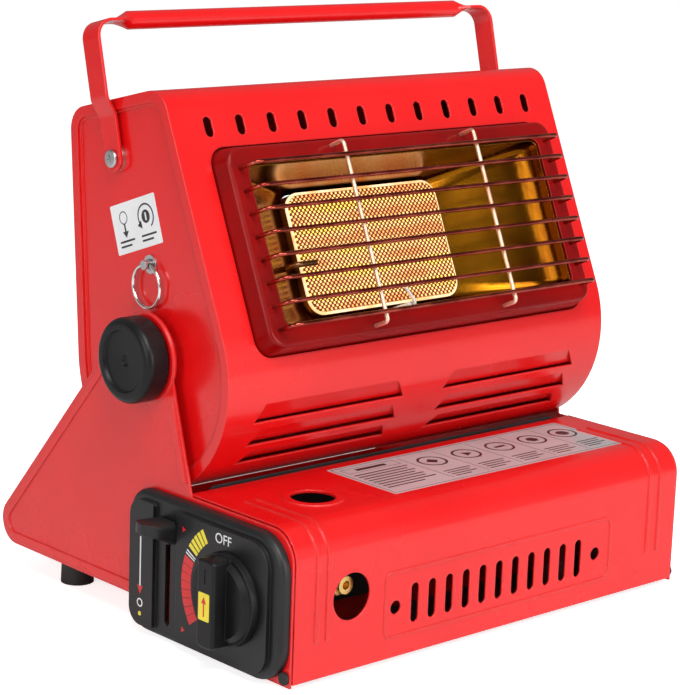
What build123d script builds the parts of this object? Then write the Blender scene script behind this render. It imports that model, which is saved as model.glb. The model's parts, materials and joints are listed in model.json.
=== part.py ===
"""Portable gas heater: a radiant head that tilts between two ears over a cartridge case."""

import os
from math import acos, atan2, cos, degrees, hypot, radians, sin

from build123d import *

os.makedirs("parts", exist_ok=True)

# ---------------------------------------------------------------- driving dimensions (mm, degrees)
# Heights are measured up from the underside of the case, depths rearwards from its front,
# and widths from the middle plane of the case.
case_length = 280.0       # over the end plates
case_height = 77.6        # to the top of the lid
lid_depth = 80.5          # front of the case to the rear edge of the lid
stand_depth = 243.0       # front of the case to the heel of the ears
foot_drop = 2.0           # the case stands this far above the floor
tray_height = 14.0        # underside of the rear tray
sheet = 1.2               # thickness of stand sheet
skin = 1.0                # thickness of lid and head sheet
gap = 0.3                 # between sheets that move past each other
fit = 0.3                 # round a pin, shaft or stem, on the radius

pivot_depth = 116.5       # tilt axis
pivot_height = 140.0
ear_radius = 23.5
ear_front_left = 78.0     # depth at which each ear rises from the case
ear_front_right = 89.5
ear_heel = 257.0          # where the ear's two lower edges would meet
heel_radius = 12.5
ear_front_angle = 200.7   # where its front edge meets the round top

head_lean = 14.0          # of the whole head, at rest
flank_lean = 9.8          # of its front and rear faces
head_width = 270.0
head_top = 130.3          # above the pivot
nose_radius = 61.5
nose_rear = 4.0           # nose centre, behind and below the pivot
nose_drop = 6.0
crown_radius = 13.0
rim_width = 5.5           # band of the shell folded over the sides
rim_recess = 2.0          # of the side panels behind that band

window_width = 236.0
window_height = 107.5
window_side = 2.0         # its middle lies this far right of the case's middle
window_rise = 41.85       # its middle, up the face from where the nose curve ends
window_radius = 10.0

plaque_width = 105.0
plaque_height = 62.5
plaque_depth = 26.0       # behind the face
plaque_corner = 8.0
plaque_thickness = 12.0

guard_wire = 2.2
guard_proud = 22.0
guard_width = 218.0
guard_count = 8
guard_pitch = 11.75

panel_thickness = 7.8
panel_depth = 119.4
panel_height = 74.3
knob_depth = 38.5         # gas knob's axis
knob_height = 36.5
knob_radius = 23.5
knob_skirt = 4.0
knob_proud = 14.6
knob_grip = 12.5          # thickness of the gas knob's grip

lever_depth = 88.7        # the lever's slot
lever_top = 55.0          # lever at rest, released
lever_travel = 40.0
lever_stem = 3.0
clamp_travel = 8.0

cartridge_depth = 41.0    # axis of the gas cartridge
cartridge_height = 40.5
cartridge_radius = 33.5
regulator_face = -92.0    # where the cartridge's collar seats

tilt_knob_radius = 21.7
tilt_knob_thickness = 14.5
tilt_steps = (0, 30, 60, 90)  # detents, back from upright

pin_radius = 2.4
pin_travel = 2.0
pin_rear = -5.5           # pull pin, behind and above the pivot
pin_rise = 45.9
bushing_radius = 4.0
barrel_length = 12.0
quadrant_clearance = 1.8   # between the quadrant and the pin's barrel
ring_radius = 10.9
ring_wire = 0.9

arm_rear = 10.0           # handle screws
arm_rise = 101.0
arm_width = 13.5
arm_sheet = 1.5
arm_foot = 9.0            # the arm ends this far below its screw
handle_rise = 170.0       # grip's axis above the tilt axis
handle_reach = 140.5      # outer faces of the upper arms
handle_grip_radius = 4.75
handle_grip_length = 232.0

lid_hinge_depth = 4.0
lid_hinge_height = 4.5
hinge_pin_radius = 2.0

# ---------------------------------------------------------------- worked out from them
half_case = case_length / 2
ear_drop = pivot_height - tray_height
ear_run = ear_heel - pivot_depth
ear_rear_angle = degrees(acos(ear_radius / hypot(ear_run, ear_drop)) - atan2(ear_drop, ear_run))
inner_case = half_case - sheet
half_head = head_width / 2
panel_face = half_case + panel_thickness
tilt_knob_face = half_case + 0.5 + tilt_knob_thickness
knob_face = panel_face + knob_proud
mid_x = (knob_face - tilt_knob_face) / 2
case_front = -stand_depth / 2
mid_plane = Plane.YZ.offset(mid_x)
nose_v = -nose_drop
face_lean = head_lean + flank_lean

head = Plane(
    origin=(mid_x, case_front + pivot_depth, foot_drop + pivot_height),
    x_dir=(1, 0, 0),
    z_dir=(0, sin(radians(head_lean)), cos(radians(head_lean))),
)


def side_plane(x):
    """Upright plane across the case at x: local x runs rearwards, local y up."""
    return Plane(origin=(mid_x + x, case_front, foot_drop), x_dir=(0, 1, 0), z_dir=(1, 0, 0))


def floor_plane(height):
    """Level plane: local x runs right, local y rearwards."""
    return Plane(origin=(mid_x, case_front, foot_drop + height))


def facing_plane(depth):
    """Upright plane along the case, facing forwards: local x runs right, local y up."""
    return Plane(origin=(mid_x, case_front + depth, foot_drop), x_dir=(1, 0, 0), z_dir=(0, -1, 0))


def head_side(x):
    """Plane across the head at x: local x runs rearwards from the tilt axis, local y up the head."""
    return Plane(origin=head.from_local_coords((x, 0, 0)), x_dir=head.y_dir, z_dir=head.x_dir)


def head_facing(rear):
    """Plane along the head, facing forwards: local x runs right, local y up the head."""
    return Plane(origin=head.from_local_coords((0, rear, 0)), x_dir=head.x_dir, z_dir=-head.y_dir)


def face_point(x, rise, depth=0.0):
    """Point x right, rise up the front face and depth behind it, from where the nose curve ends."""
    lean = radians(flank_lean)
    rear = nose_rear - nose_radius * cos(lean) + rise * sin(lean) + depth * cos(lean)
    up = nose_v + nose_radius * sin(lean) + rise * cos(lean) - depth * sin(lean)
    return head.from_local_coords((x, rear, up))


def face_plane(depth):
    """Plane parallel to the front face, facing out of it."""
    lean = radians(face_lean)
    return Plane(
        origin=face_point(window_side, window_rise, depth), x_dir=(1, 0, 0), z_dir=(0, -cos(lean), sin(lean))
    )


def face_section(x):
    """Plane square to the front face: local x runs inwards from it, local y up it."""
    lean = radians(face_lean)
    return Plane(
        origin=face_point(x, window_rise), x_dir=(0, cos(lean), -sin(lean)), z_dir=(1, 0, 0)
    )


def rear_plane(depth):
    """Plane parallel to the head's rear face, facing out of it, level with the nose centre."""
    lean = radians(flank_lean - head_lean)
    r = nose_radius - depth
    origin = head.from_local_coords(
        (0, nose_rear + r * cos(radians(flank_lean)), nose_v + r * sin(radians(flank_lean)))
    )
    return Plane(origin=origin, x_dir=(-1, 0, 0), z_dir=(0, cos(lean), sin(lean)))


def bent_strip(points, radius, thickness, side=Side.LEFT):
    """Closed outline of a folded sheet whose one face follows the points."""
    FilletPolyline(*points, radius=radius)
    offset(amount=thickness, side=side)


def head_outline(inset=0.0):
    """Side view of the head: a large nose circle drawn together with two crown corners."""
    lean = radians(flank_lean)
    crown_v = head_top - crown_radius
    half = (nose_radius - crown_radius - (crown_v - nose_v) * sin(lean)) / cos(lean)
    with Locations((nose_rear, nose_v)):
        Circle(nose_radius - inset)
    with Locations((nose_rear - half, crown_v), (nose_rear + half, crown_v)):
        Circle(crown_radius - inset)
    make_hull()


# ---------------------------------------------------------------- stand
tray_front = 10.0
tray_step = 122.0
tray_rear = 236.0
tray_lip = 10.0
tray_front_lip = 5.0
vent_slot = (26.0, 3.5)

with BuildPart() as base_tray:
    with BuildSketch(side_plane(-inner_case)):
        with BuildLine():
            bent_strip(
                [
                    (tray_front, tray_front_lip),
                    (tray_front, 0),
                    (tray_step, 0),
                    (tray_step, tray_height),
                    (tray_rear, tray_height),
                    (tray_rear, tray_height + tray_lip),
                ],
                radius=2.5,
                thickness=sheet,
            )
        make_face()
    extrude(amount=2 * inner_case)
    with BuildSketch(floor_plane(-1)):
        with Locations((0, cartridge_depth)):
            with GridLocations(40, 24, 5, 2):
                SlotOverall(*vent_slot)
        with Locations((0, (tray_step + tray_rear) / 2 + 6)):
            with GridLocations(40, 30, 5, 3):
                SlotOverall(*vent_slot)
    extrude(amount=tray_height + 10, mode=Mode.SUBTRACT)


plate_front = 0.5
border_inset = 2.0
border_width = 4.5
border_proud = 0.8
bolt_radius = 3.0
lever_slot_length = lever_travel + 14.0
lever_slot_middle = lever_top - lever_travel / 2
lid_radius = 17.0


def side_frame(front_of_ear, side, knob_side):
    """End plate of the case with the ear that carries the head."""
    x = side * half_case
    with BuildPart() as frame:
        with BuildSketch(side_plane(x)) as outline:
            with BuildLine():
                crest = CenterArc(
                    (pivot_depth, pivot_height), ear_radius, ear_front_angle, ear_rear_angle - ear_front_angle
                )
                Polyline(
                    crest @ 1,
                    (ear_heel, tray_height),
                    (tray_step + 4, tray_height),
                    (tray_step, 0),
                    (plate_front, 0),
                    (plate_front, case_height - skin),
                    (front_of_ear, case_height - skin),
                    crest @ 0,
                )
            make_face()
            fillet(outline.vertices().sort_by_distance((plate_front, case_height - skin))[0], lid_radius - skin)
            fillet(outline.vertices().sort_by(Axis.X)[-1], heel_radius)
        extrude(amount=-side * sheet)
        # stamped border and the ring round the knob stand a little proud
        with BuildSketch(side_plane(x)) as border:
            offset(outline.sketch_local, amount=-border_inset, mode=Mode.ADD)
            offset(outline.sketch_local, amount=-border_inset - border_width, mode=Mode.SUBTRACT)
            with Locations((0, 0)):
                Rectangle(2 * (tray_step + 4), 2 * case_height + 10, mode=Mode.SUBTRACT)
            with Locations((pivot_depth, pivot_height)):
                Circle(ear_radius + 6, mode=Mode.SUBTRACT)
        extrude(amount=side * border_proud)
        with BuildSketch(side_plane(x)):
            with Locations((pivot_depth, pivot_height)):
                Circle(ear_radius - 0.5)
                Circle(ear_radius - 3.5, mode=Mode.SUBTRACT)
        extrude(amount=side * border_proud)
        with BuildSketch(side_plane(x - side * sheet)):
            with Locations((pivot_depth, pivot_height)):
                Circle(bolt_radius + 0.4)
            with Locations((lid_hinge_depth, lid_hinge_height)):
                Circle(hinge_pin_radius)
            if knob_side:
                with Locations((knob_depth, knob_height)):
                    Circle(6.0)
                with Locations((lever_depth, lever_slot_middle)):
                    SlotOverall(lever_slot_length, lever_stem + 2 * fit + 0.4, rotation=90)
        extrude(amount=side * 4, both=True, mode=Mode.SUBTRACT)
    return frame.part


side_frame_left = side_frame(ear_front_left, -1, True)
side_frame_right = side_frame(ear_front_right, 1, False)

wall_depth = lid_depth + 1.0
wall_height = 78.8
wall_half = 130.0
hose_x = -102.0
hose_radius = 4.0
hose_exit_height = 34.0

with BuildPart() as bay_wall:
    with BuildSketch(facing_plane(wall_depth + sheet)) as wall_face:
        with BuildLine():
            Polyline(
                (-wall_half, sheet),
                (-wall_half, wall_height - 7),
                (-wall_half + 7, wall_height),
                (wall_half - 7, wall_height),
                (wall_half, wall_height - 7),
                (wall_half, sheet),
                close=True,
            )
        make_face()
    extrude(amount=sheet)
    with BuildSketch(side_plane(-wall_half)):
        with Locations((wall_depth, sheet)):
            Rectangle(14, sheet, align=(Align.MIN, Align.MIN))
    extrude(amount=2 * wall_half)
    with BuildSketch(facing_plane(wall_depth + 16)):
        with Locations((hose_x, hose_exit_height)):
            Circle(hose_radius + 2.5)
        with Locations((-98, 0)):
            Rectangle(84, 14, align=(Align.CENTER, Align.CENTER))
    extrude(amount=20, mode=Mode.SUBTRACT)

# ---------------------------------------------------------------- control panel on the left end
plate_inset = 10.0
plate_proud = 2.3

with BuildPart() as control_panel:
    with BuildSketch(side_plane(-half_case)) as panel_outline:
        with Locations((1.4 + panel_depth / 2, 0.3 + panel_height / 2)):
            Rectangle(panel_depth, panel_height)
        fillet(panel_outline.vertices().group_by(Axis.X)[0], 20.0)
        fillet(panel_outline.vertices().group_by(Axis.X)[-1], 14.0)
    extrude(amount=-(panel_thickness - plate_proud))
    outer = control_panel.faces().sort_by(Axis.X)[0]
    fillet(outer.edges(), 3.0)
    # raised dial plate
    with BuildSketch(side_plane(-panel_face)) as dial_plate:
        with Locations(((plate_inset + lever_depth - 9.5) / 2, knob_height)):
            Rectangle(lever_depth - 9.5 - plate_inset, 67)
        fillet(dial_plate.vertices().group_by(Axis.X)[0], 13.0)
        fillet(dial_plate.vertices().group_by(Axis.X)[-1], 2.0)
    extrude(amount=panel_thickness - 2)
    # raised strip behind the lever
    with BuildSketch(side_plane(-panel_face)) as strip:
        with Locations((lever_depth + 9.5 + 9.5, knob_height)):
            Rectangle(19, 66)
        fillet(strip.vertices().group_by(Axis.X)[-1], 9.0)
        fillet(strip.vertices().group_by(Axis.X)[0], 2.0)
    extrude(amount=panel_thickness - 2)
    # hollow behind
    with BuildSketch(side_plane(-half_case)) as hollow:
        offset(panel_outline.sketch_local, amount=-2.2, mode=Mode.ADD)
    extrude(amount=-(panel_thickness - plate_proud - 2), mode=Mode.SUBTRACT)
    # spindle hole and lever slot
    with BuildSketch(side_plane(-half_case)):
        with Locations((knob_depth, knob_height)):
            Circle(5.0)
        with Locations((lever_depth, lever_slot_middle)):
            SlotOverall(lever_slot_length, lever_stem + 2 * fit + 0.4, rotation=90)
    extrude(amount=-2 * panel_thickness, mode=Mode.SUBTRACT)
    # four bosses that reach the end plate
    with BuildSketch(side_plane(-half_case)) as bosses:
        with Locations((22, 14), (22, 60), (104, 12), (104, 62)):
            Circle(4.0)
    extrude(amount=-(panel_thickness - plate_proud - 1))

# ---------------------------------------------------------------- gas train in the case
nipple_x = regulator_face - 7.0
nipple_height = cartridge_height + 1.6
nipple_seat = 15.0
regulator_length = 22.0
regulator_rear = regulator_face - regulator_length
disc_radius = 23.0
socket_radius = 19.0
socket_bore = 17.2
socket_length = 8.0

with BuildPart() as regulator:
    with BuildSketch(Plane(
        origin=(mid_x, case_front + cartridge_depth, foot_drop + cartridge_height),
        x_dir=(1, 0, 0), z_dir=(0, -1, 0),
    )):
        with BuildLine():
            Polyline(
                (regulator_rear, 0),
                (regulator_rear, disc_radius - 2),
                (regulator_rear + 2, disc_radius),
                (regulator_rear + 10, disc_radius),
                (regulator_rear + 12, socket_radius),
                (regulator_face, socket_radius),
                (regulator_face, 0),
                close=True,
            )
        make_face()
    revolve(axis=Axis(
        (mid_x, case_front + cartridge_depth, foot_drop + cartridge_height), (1, 0, 0)
    ))
    # seat of the nipple at the front, outlet boss at the rear, foot at the bottom
    with BuildSketch(facing_plane(nipple_seat)):
        with Locations((nipple_x, nipple_height)):
            Circle(7.0)
    extrude(amount=-16)
    with BuildSketch(facing_plane(cartridge_depth + 12)):
        with Locations((hose_x, hose_exit_height)):
            Circle(5.5)
    extrude(amount=-14.5)
    with BuildSketch(facing_plane(cartridge_depth + 26.5)):
        with Locations((hose_x, hose_exit_height)):
            Circle(3.2)
    extrude(amount=-6)
    with BuildSketch(floor_plane(sheet)):
        with Locations((hose_x - 4, cartridge_depth)):
            Rectangle(12, 30)
    extrude(amount=18)
    # socket for the cartridge's collar
    with BuildSketch(side_plane(regulator_face - socket_length)):
        with Locations((cartridge_depth, cartridge_height)):
            Circle(socket_bore)
    extrude(amount=socket_length + 6, mode=Mode.SUBTRACT)

valve_length = 18.0
valve_block = 20.0
spindle_radius = 3.0
spindle_bore_depth = 8.0  # of the bore into the valve's block

with BuildPart() as gas_valve:
    with BuildSketch(side_plane(regulator_rear)) as valve_face:
        with Locations((knob_depth, knob_height)):
            Rectangle(valve_block + 8, valve_block)
        fillet(valve_face.vertices(), 3)
    extrude(amount=-valve_length)
    with BuildSketch(side_plane(regulator_rear - valve_length)):
        with Locations((knob_depth, knob_height)):
            Circle(8.0)
    extrude(amount=-(inner_case + regulator_rear - valve_length))
    # piezo barrel above the valve
    with BuildSketch(side_plane(regulator_rear - 1)):
        with Locations((knob_depth, knob_height + valve_block / 2 + 5)):
            Circle(6.5)
    extrude(amount=-(valve_length - 2))
    with BuildSketch(side_plane(-inner_case)):
        with Locations((knob_depth, knob_height)):
            Circle(spindle_radius + fit)
    extrude(amount=inner_case + regulator_rear - valve_length + spindle_bore_depth, mode=Mode.SUBTRACT)

with BuildPart() as brass_nipple:
    with BuildSketch(facing_plane(nipple_seat)):
        with Locations((nipple_x, nipple_height)):
            RegularPolygon(6.5, 6)
    extrude(amount=4)
    with BuildSketch(facing_plane(nipple_seat - 4)):
        with Locations((nipple_x, nipple_height)):
            Circle(4.6)
    extrude(amount=3.5)
    with BuildSketch(facing_plane(nipple_seat - 7.5)):
        with Locations((nipple_x, nipple_height)):
            Circle(2.2)
    extrude(amount=-5, mode=Mode.SUBTRACT)

# ---------------------------------------------------------------- feet and hinge pins
foot_positions = [(-116, 24), (116, 24)]
rear_foot_positions = [(-122, 197), (122, 197)]

with BuildPart() as front_feet:
    with BuildSketch(floor_plane(0)):
        with Locations(foot_positions):
            Circle(8)
    extrude(amount=-foot_drop)

with BuildPart() as rear_feet:
    with BuildSketch(floor_plane(-foot_drop)):
        with Locations(rear_foot_positions):
            Circle(9)
    extrude(amount=tray_height + foot_drop, taper=2)

with BuildPart() as hinge_pins:
    for side in (-1, 1):
        with BuildSketch(side_plane(side * (half_case - 8))):
            with Locations((lid_hinge_depth, lid_hinge_height)):
                Circle(hinge_pin_radius)
        extrude(amount=side * 8)
        with BuildSketch(side_plane(side * half_case)):
            with Locations((lid_hinge_depth, lid_hinge_height)):
                Circle(hinge_pin_radius + 1.2)
        extrude(amount=side * 1.6)

# ---------------------------------------------------------------- cartridge lid
lid_half = inner_case - 0.5
lid_bottom = 1.5
rib_proud = 0.7
lid_top = case_height
slot_count = 11
slot_width = 5.2
lid_hole_radius = 11.5
slot_pitch = 12.0
slot_height = 27.4

with BuildPart() as cartridge_lid:
    with BuildSketch(side_plane(-lid_half)):
        with BuildLine():
            bent_strip(
                [(0, lid_bottom), (0, lid_top), (lid_depth, lid_top)],
                radius=lid_radius,
                thickness=skin,
                side=Side.RIGHT,
            )
        make_face()
    extrude(amount=2 * lid_half)
    # stamped borders: front rectangle, top hole ring, ribs over the corner
    with BuildSketch(facing_plane(0)) as panel_bead:
        with Locations((3.5, 29)):
            RectangleRounded(167, 35, 5)
            RectangleRounded(164, 32, 3.8, mode=Mode.SUBTRACT)
    extrude(amount=0.5)
    with BuildSketch(floor_plane(lid_top)):
        with Locations((-93, 40.5)):
            Circle(lid_hole_radius + 4)
    extrude(amount=0.6)
    for rib_x in (-125.7, -118.6, 116.0, 124.5):
        with BuildSketch(side_plane(rib_x)):
            with BuildLine():
                bent_strip(
                    [(0.5, 20), (0.5, lid_top - 0.5), (lid_depth - 26, lid_top - 0.5)],
                    radius=lid_radius - 0.5,
                    thickness=rib_proud + 0.5,
                    side=Side.LEFT,
                )
            make_face()
        extrude(amount=2.5)
    # openings in the front: viewing hole, row of slots, two screw holes
    with BuildSketch(facing_plane(10)):
        with Locations((-102.0, 39.1)):
            Circle(12)
        with Locations((1, slot_height)):
            with GridLocations(slot_pitch, 0, slot_count, 1):
                SlotOverall(20.5, slot_width, rotation=90)
        with Locations((-72.2, slot_height), (74.7, slot_height)):
            Circle(3.5)
    extrude(amount=20, mode=Mode.SUBTRACT)
    with BuildSketch(floor_plane(lid_top - 5)):
        with Locations((-93, 40.5)):
            Circle(lid_hole_radius)
    extrude(amount=10, mode=Mode.SUBTRACT)
    # hinge tabs folded in at both ends
    for side in (-1, 1):
        with BuildSketch(side_plane(side * lid_half)):
            with Locations((lid_hinge_depth, lid_hinge_height)):
                Circle(lid_hinge_depth - 0.2)
            with Locations((0, lid_hinge_height - 3)):
                Rectangle(lid_hinge_depth, 8, align=(Align.MIN, Align.MIN))
            with Locations((lid_hinge_depth, lid_hinge_height)):
                Circle(hinge_pin_radius + fit, mode=Mode.SUBTRACT)
        extrude(amount=-side * sheet)

# ---------------------------------------------------------------- gas knob and spindle
with BuildPart() as gas_knob:
    with BuildSketch(side_plane(-panel_face - gap)):
        with Locations((knob_depth, knob_height)):
            Circle(knob_radius)
    extrude(amount=-(knob_skirt - gap), taper=8)
    with BuildSketch(side_plane(-panel_face - knob_skirt)):
        with Locations((knob_depth, knob_height)):
            Circle(knob_radius - 2.5)
    extrude(amount=-2.6, taper=40)
    with BuildSketch(side_plane(-panel_face - knob_skirt)) as grip:
        with Locations((knob_depth, knob_height)):
            Circle(knob_radius - 1)
            Rectangle(knob_grip, 2 * knob_radius, mode=Mode.INTERSECT)
        fillet(grip.vertices(), 2.0)
    extrude(amount=-(knob_proud - knob_skirt))
    fillet(gas_knob.faces().sort_by(Axis.X)[0].edges(), 1.4)
    # groove that marks the upper end, and the hole for the spindle
    with BuildSketch(side_plane(-knob_face)):
        with Locations((knob_depth, knob_height + 14)):
            SlotOverall(8, 0.9, rotation=90)
    extrude(amount=0.6, mode=Mode.SUBTRACT)
    with BuildSketch(side_plane(-panel_face)):
        with Locations((knob_depth, knob_height)):
            Circle(spindle_radius)
    extrude(amount=-10, mode=Mode.SUBTRACT)

with BuildPart() as valve_spindle:
    with BuildSketch(side_plane(regulator_rear - valve_length + spindle_bore_depth - 3)):
        with Locations((knob_depth, knob_height)):
            Circle(spindle_radius)
    extrude(amount=-(panel_face + 10 + regulator_rear - valve_length + spindle_bore_depth - 3))

# ---------------------------------------------------------------- lock lever
pin_x = -123.0
cam_depth = lever_depth + 3.4
lever_pin = 2.0
thumb_width = 17.5
thumb_proud = 15.5

with BuildPart() as lock_lever:
    # thumb piece: a tongue that thins and rises towards its round end
    with BuildSketch(side_plane(-panel_face + plate_proud - 1)) as root:
        with Locations((lever_depth, lever_top + 3)):
            RectangleRounded(thumb_width, 12, 4)
    with BuildSketch(side_plane(-panel_face - thumb_proud)) as tip:
        with Locations((lever_depth, lever_top + 7)):
            RectangleRounded(thumb_width, 5, 2.2)
    loft()
    with BuildSketch(floor_plane(lever_top - 10)):
        with Locations((-panel_face, lever_depth)):
            RectangleRounded(2 * thumb_proud, thumb_width, thumb_width / 2 - 0.6)
    extrude(amount=30, mode=Mode.INTERSECT)
    with BuildSketch(side_plane(-panel_face + plate_proud - 1)):
        with Locations((lever_depth, lever_top)):
            Rectangle(lever_stem, 8)
    extrude(amount=panel_face - plate_proud + 1 + pin_x + lever_pin + 1)
    with BuildSketch(facing_plane(lever_depth)):
        with Locations((pin_x, lever_top)):
            Circle(lever_pin)
    extrude(amount=-7)

# ---------------------------------------------------------------- cartridge clamp
clamp_floor = sheet + gap
cam_left = pin_x - 6.0
cam_right = pin_x + clamp_travel + 6.0
stop_x = 112.0
saddle_front = 28.0
saddle_rear = 54.0
cam_top = lever_top + 7.0

with BuildPart() as cartridge_clamp:
    # saddle strip under the cartridge, with its end stop
    with BuildSketch(floor_plane(clamp_floor)) as saddle:
        with Locations(((stop_x - 74) / 2, cartridge_depth)):
            Rectangle(stop_x + 74, saddle_rear - saddle_front)
        with Locations((-74, saddle_rear)):
            Rectangle(18, cam_depth + sheet - saddle_rear, align=(Align.MIN, Align.MIN))
        with Locations((cam_left, wall_depth + sheet + 2)):
            Rectangle(-56 - cam_left, cam_depth - wall_depth - 2, align=(Align.MIN, Align.MIN))
    extrude(amount=sheet)
    with BuildSketch(side_plane(stop_x)) as stop:
        with Locations((cartridge_depth, cartridge_height - 8)):
            Circle(22)
        with Locations((cartridge_depth, clamp_floor)):
            Rectangle(26, 30, align=(Align.CENTER, Align.MIN))
    extrude(amount=-sheet)
    # cam plate with the inclined slot that the lever's pin runs in
    with BuildSketch(facing_plane(cam_depth + sheet)) as cam:
        with BuildLine():
            Polyline(
                (cam_left, clamp_floor),
                (cam_right, clamp_floor),
                (cam_right, cam_top),
                (cam_left, cam_top),
                close=True,
            )
        make_face()
        with Locations((pin_x + clamp_travel / 2, lever_top - lever_travel / 2)):
            SlotCenterToCenter(
                (lever_travel**2 + clamp_travel**2) ** 0.5,
                2 * (lever_pin + fit),
                rotation=90 + degrees(atan2(clamp_travel, lever_travel)),
                mode=Mode.SUBTRACT,
            )
    extrude(amount=sheet)

# ---------------------------------------------------------------- head shell
slot_rise = 106.4         # middle of the slots above the window, up the face
louvre_length = 101.5
louvre_middle = 65.0
louvre_angles = (31.7, 45.0, 58.2)  # of the slits, below level in the head's own frame
louvre_span = 9.0         # degrees of the nose from the fold down to the slit
louvre_sink = 2.6         # of the ramp's lower edge
louvre_end = 58.0         # degrees between the slit and each slanted end
rear_opening = (232.0, 84.0)
rear_opening_rise = 42.0
cover_screw_grid = (122.0, 92.0, 3, 2)
rim_depth = 3.6           # of the window's turned-in edge


def nose_point(x, angle, radius):
    """Point at an angle below level on a circle about the nose's centre."""
    return head.from_local_coords(
        (x, nose_rear - radius * cos(radians(angle)), nose_v - radius * sin(radians(angle)))
    )


def ramp_plane(x, angle):
    """Plane of a louvre's sunk ramp, from its fold at the origin down to the slit."""
    fold = nose_point(x, angle - louvre_span, nose_radius)
    slit = nose_point(x, angle, nose_radius - louvre_sink)
    return Plane(origin=fold, x_dir=(1, 0, 0), z_dir=Vector(1, 0, 0).cross(fold - slit))


ramp_length = (nose_point(0, 0, nose_radius) - nose_point(0, louvre_span, nose_radius - louvre_sink)).length
louvre_ramps = [ramp_plane(x, angle) for x in (-louvre_middle, louvre_middle) for angle in louvre_angles]


with BuildPart() as louvre_cups:
    for ramp in louvre_ramps:
        with BuildSketch(ramp.offset(-skin)):
            with Locations((0, -ramp_length)):
                Trapezoid(louvre_length + 2 * skin, ramp_length + skin, louvre_end, align=(Align.CENTER, Align.MIN))
        extrude(amount=3 * louvre_sink)
    with BuildSketch(head_side(-half_head)):
        head_outline()
    extrude(amount=head_width, mode=Mode.INTERSECT)

with BuildPart() as window_rim:
    with BuildSketch(face_plane(rim_depth)):
        RectangleRounded(window_width + 2 * skin, window_height + 2 * skin, window_radius + skin)
        RectangleRounded(window_width, window_height, window_radius, mode=Mode.SUBTRACT)
    extrude(amount=2 * rim_depth)
    with BuildSketch(head_side(-half_head)):
        head_outline()
    extrude(amount=head_width, mode=Mode.INTERSECT)

with BuildPart() as head_shell:
    with BuildSketch(head_side(-half_head)):
        head_outline()
    extrude(amount=head_width)
    with BuildSketch(head_side(-half_head + skin)):
        head_outline(skin)
    extrude(amount=head_width - 2 * skin, mode=Mode.SUBTRACT)
    with BuildSketch(head_side(-half_head)):
        head_outline(rim_width)
    extrude(amount=head_width, mode=Mode.SUBTRACT)
    # window, slots above it, opening at the rear
    with BuildSketch(face_plane(6)):
        RectangleRounded(window_width + skin, window_height + skin, window_radius + skin / 2)
        with Locations((-window_side + 1.1, slot_rise - window_rise)):
            with GridLocations(20.55, 0, 12, 1):
                SlotOverall(10.5, slot_width, rotation=90)
    extrude(amount=12, mode=Mode.SUBTRACT)
    with BuildSketch(rear_plane(6)):
        with Locations((0, rear_opening_rise)):
            RectangleRounded(*rear_opening, 8)
            with GridLocations(*cover_screw_grid):
                Circle(1.4 + fit)
    extrude(amount=12, mode=Mode.SUBTRACT)
    add(window_rim.part)
    # louvres pressed into the nose, each open along its lower edge
    add(louvre_cups.part)
    for ramp in louvre_ramps:
        with BuildSketch(ramp):
            with Locations((0, -ramp_length)):
                Trapezoid(louvre_length, ramp_length, louvre_end, align=(Align.CENTER, Align.MIN))
        extrude(amount=3 * louvre_sink, mode=Mode.SUBTRACT)
    # hose entry low at the rear
    with BuildSketch(Plane(
        origin=head.from_local_coords((hose_x, nose_rear, nose_v)),
        x_dir=(1, 0, 0),
        z_dir=head.y_dir * cos(radians(11)) - head.z_dir * sin(radians(11)),
    )):
        Circle(hose_radius + 3)
    extrude(amount=nose_radius + 5, mode=Mode.SUBTRACT)

# ---------------------------------------------------------------- side panels of the head
panel_outer = half_head - rim_recess
sleeve_radius = 9.0
flange_radius = 14.0


def side_panel(side):
    """Pressed panel behind the rim band, with the holes of pivot, handle screw and pull pin."""
    outer = side * (half_head - skin)
    with BuildPart() as panel:
        with BuildSketch(head_side(outer)):
            head_outline(skin)
            with BuildSketch(head_side(outer), mode=Mode.SUBTRACT):
                head_outline(rim_width + 1.5)
        extrude(amount=-side * skin)
        with BuildSketch(head_side(outer)):
            head_outline(rim_width + 0.5)
            with BuildSketch(head_side(outer), mode=Mode.SUBTRACT):
                head_outline(rim_width + 1.5)
        extrude(amount=-side * rim_recess)
        with BuildSketch(head_side(side * panel_outer)):
            head_outline(rim_width + 0.5)
        extrude(amount=-side * skin)
        with BuildSketch(head_side(side * panel_outer)):
            Circle(sleeve_radius + fit)
            with Locations((arm_rear, arm_rise)):
                Circle(2.0)
            if side < 0:
                with Locations((pin_rear, pin_rise)):
                    Circle(bushing_radius + fit)
        extrude(amount=-side * 4, both=True, mode=Mode.SUBTRACT)
    return panel.part


side_panel_left = side_panel(-1)
side_panel_right = side_panel(1)

# ---------------------------------------------------------------- rear cover
with BuildPart() as rear_cover:
    with BuildSketch(rear_plane(0)):
        with Locations((0, rear_opening_rise)):
            RectangleRounded(258, 100, 6)
    extrude(amount=skin)
    with BuildSketch(rear_plane(0)):
        with Locations((0, rear_opening_rise + 18)):
            with GridLocations(34, 12, 6, 3):
                SlotOverall(24, 4)
        with Locations((0, rear_opening_rise - 22)):
            with GridLocations(34, 12, 6, 2):
                SlotOverall(24, 4)
        with Locations((0, rear_opening_rise)):
            with GridLocations(*cover_screw_grid):
                Circle(1.4 + fit)
    extrude(amount=3, both=True, mode=Mode.SUBTRACT)

with BuildPart() as cover_screws:
    with BuildSketch(rear_plane(-skin)):
        with Locations((0, rear_opening_rise)):
            with GridLocations(*cover_screw_grid):
                Circle(3.2)
    extrude(amount=1.6, taper=12)
    with BuildSketch(rear_plane(-skin)):
        with Locations((0, rear_opening_rise)):
            with GridLocations(*cover_screw_grid):
                Circle(1.4)
    extrude(amount=-6)

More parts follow.
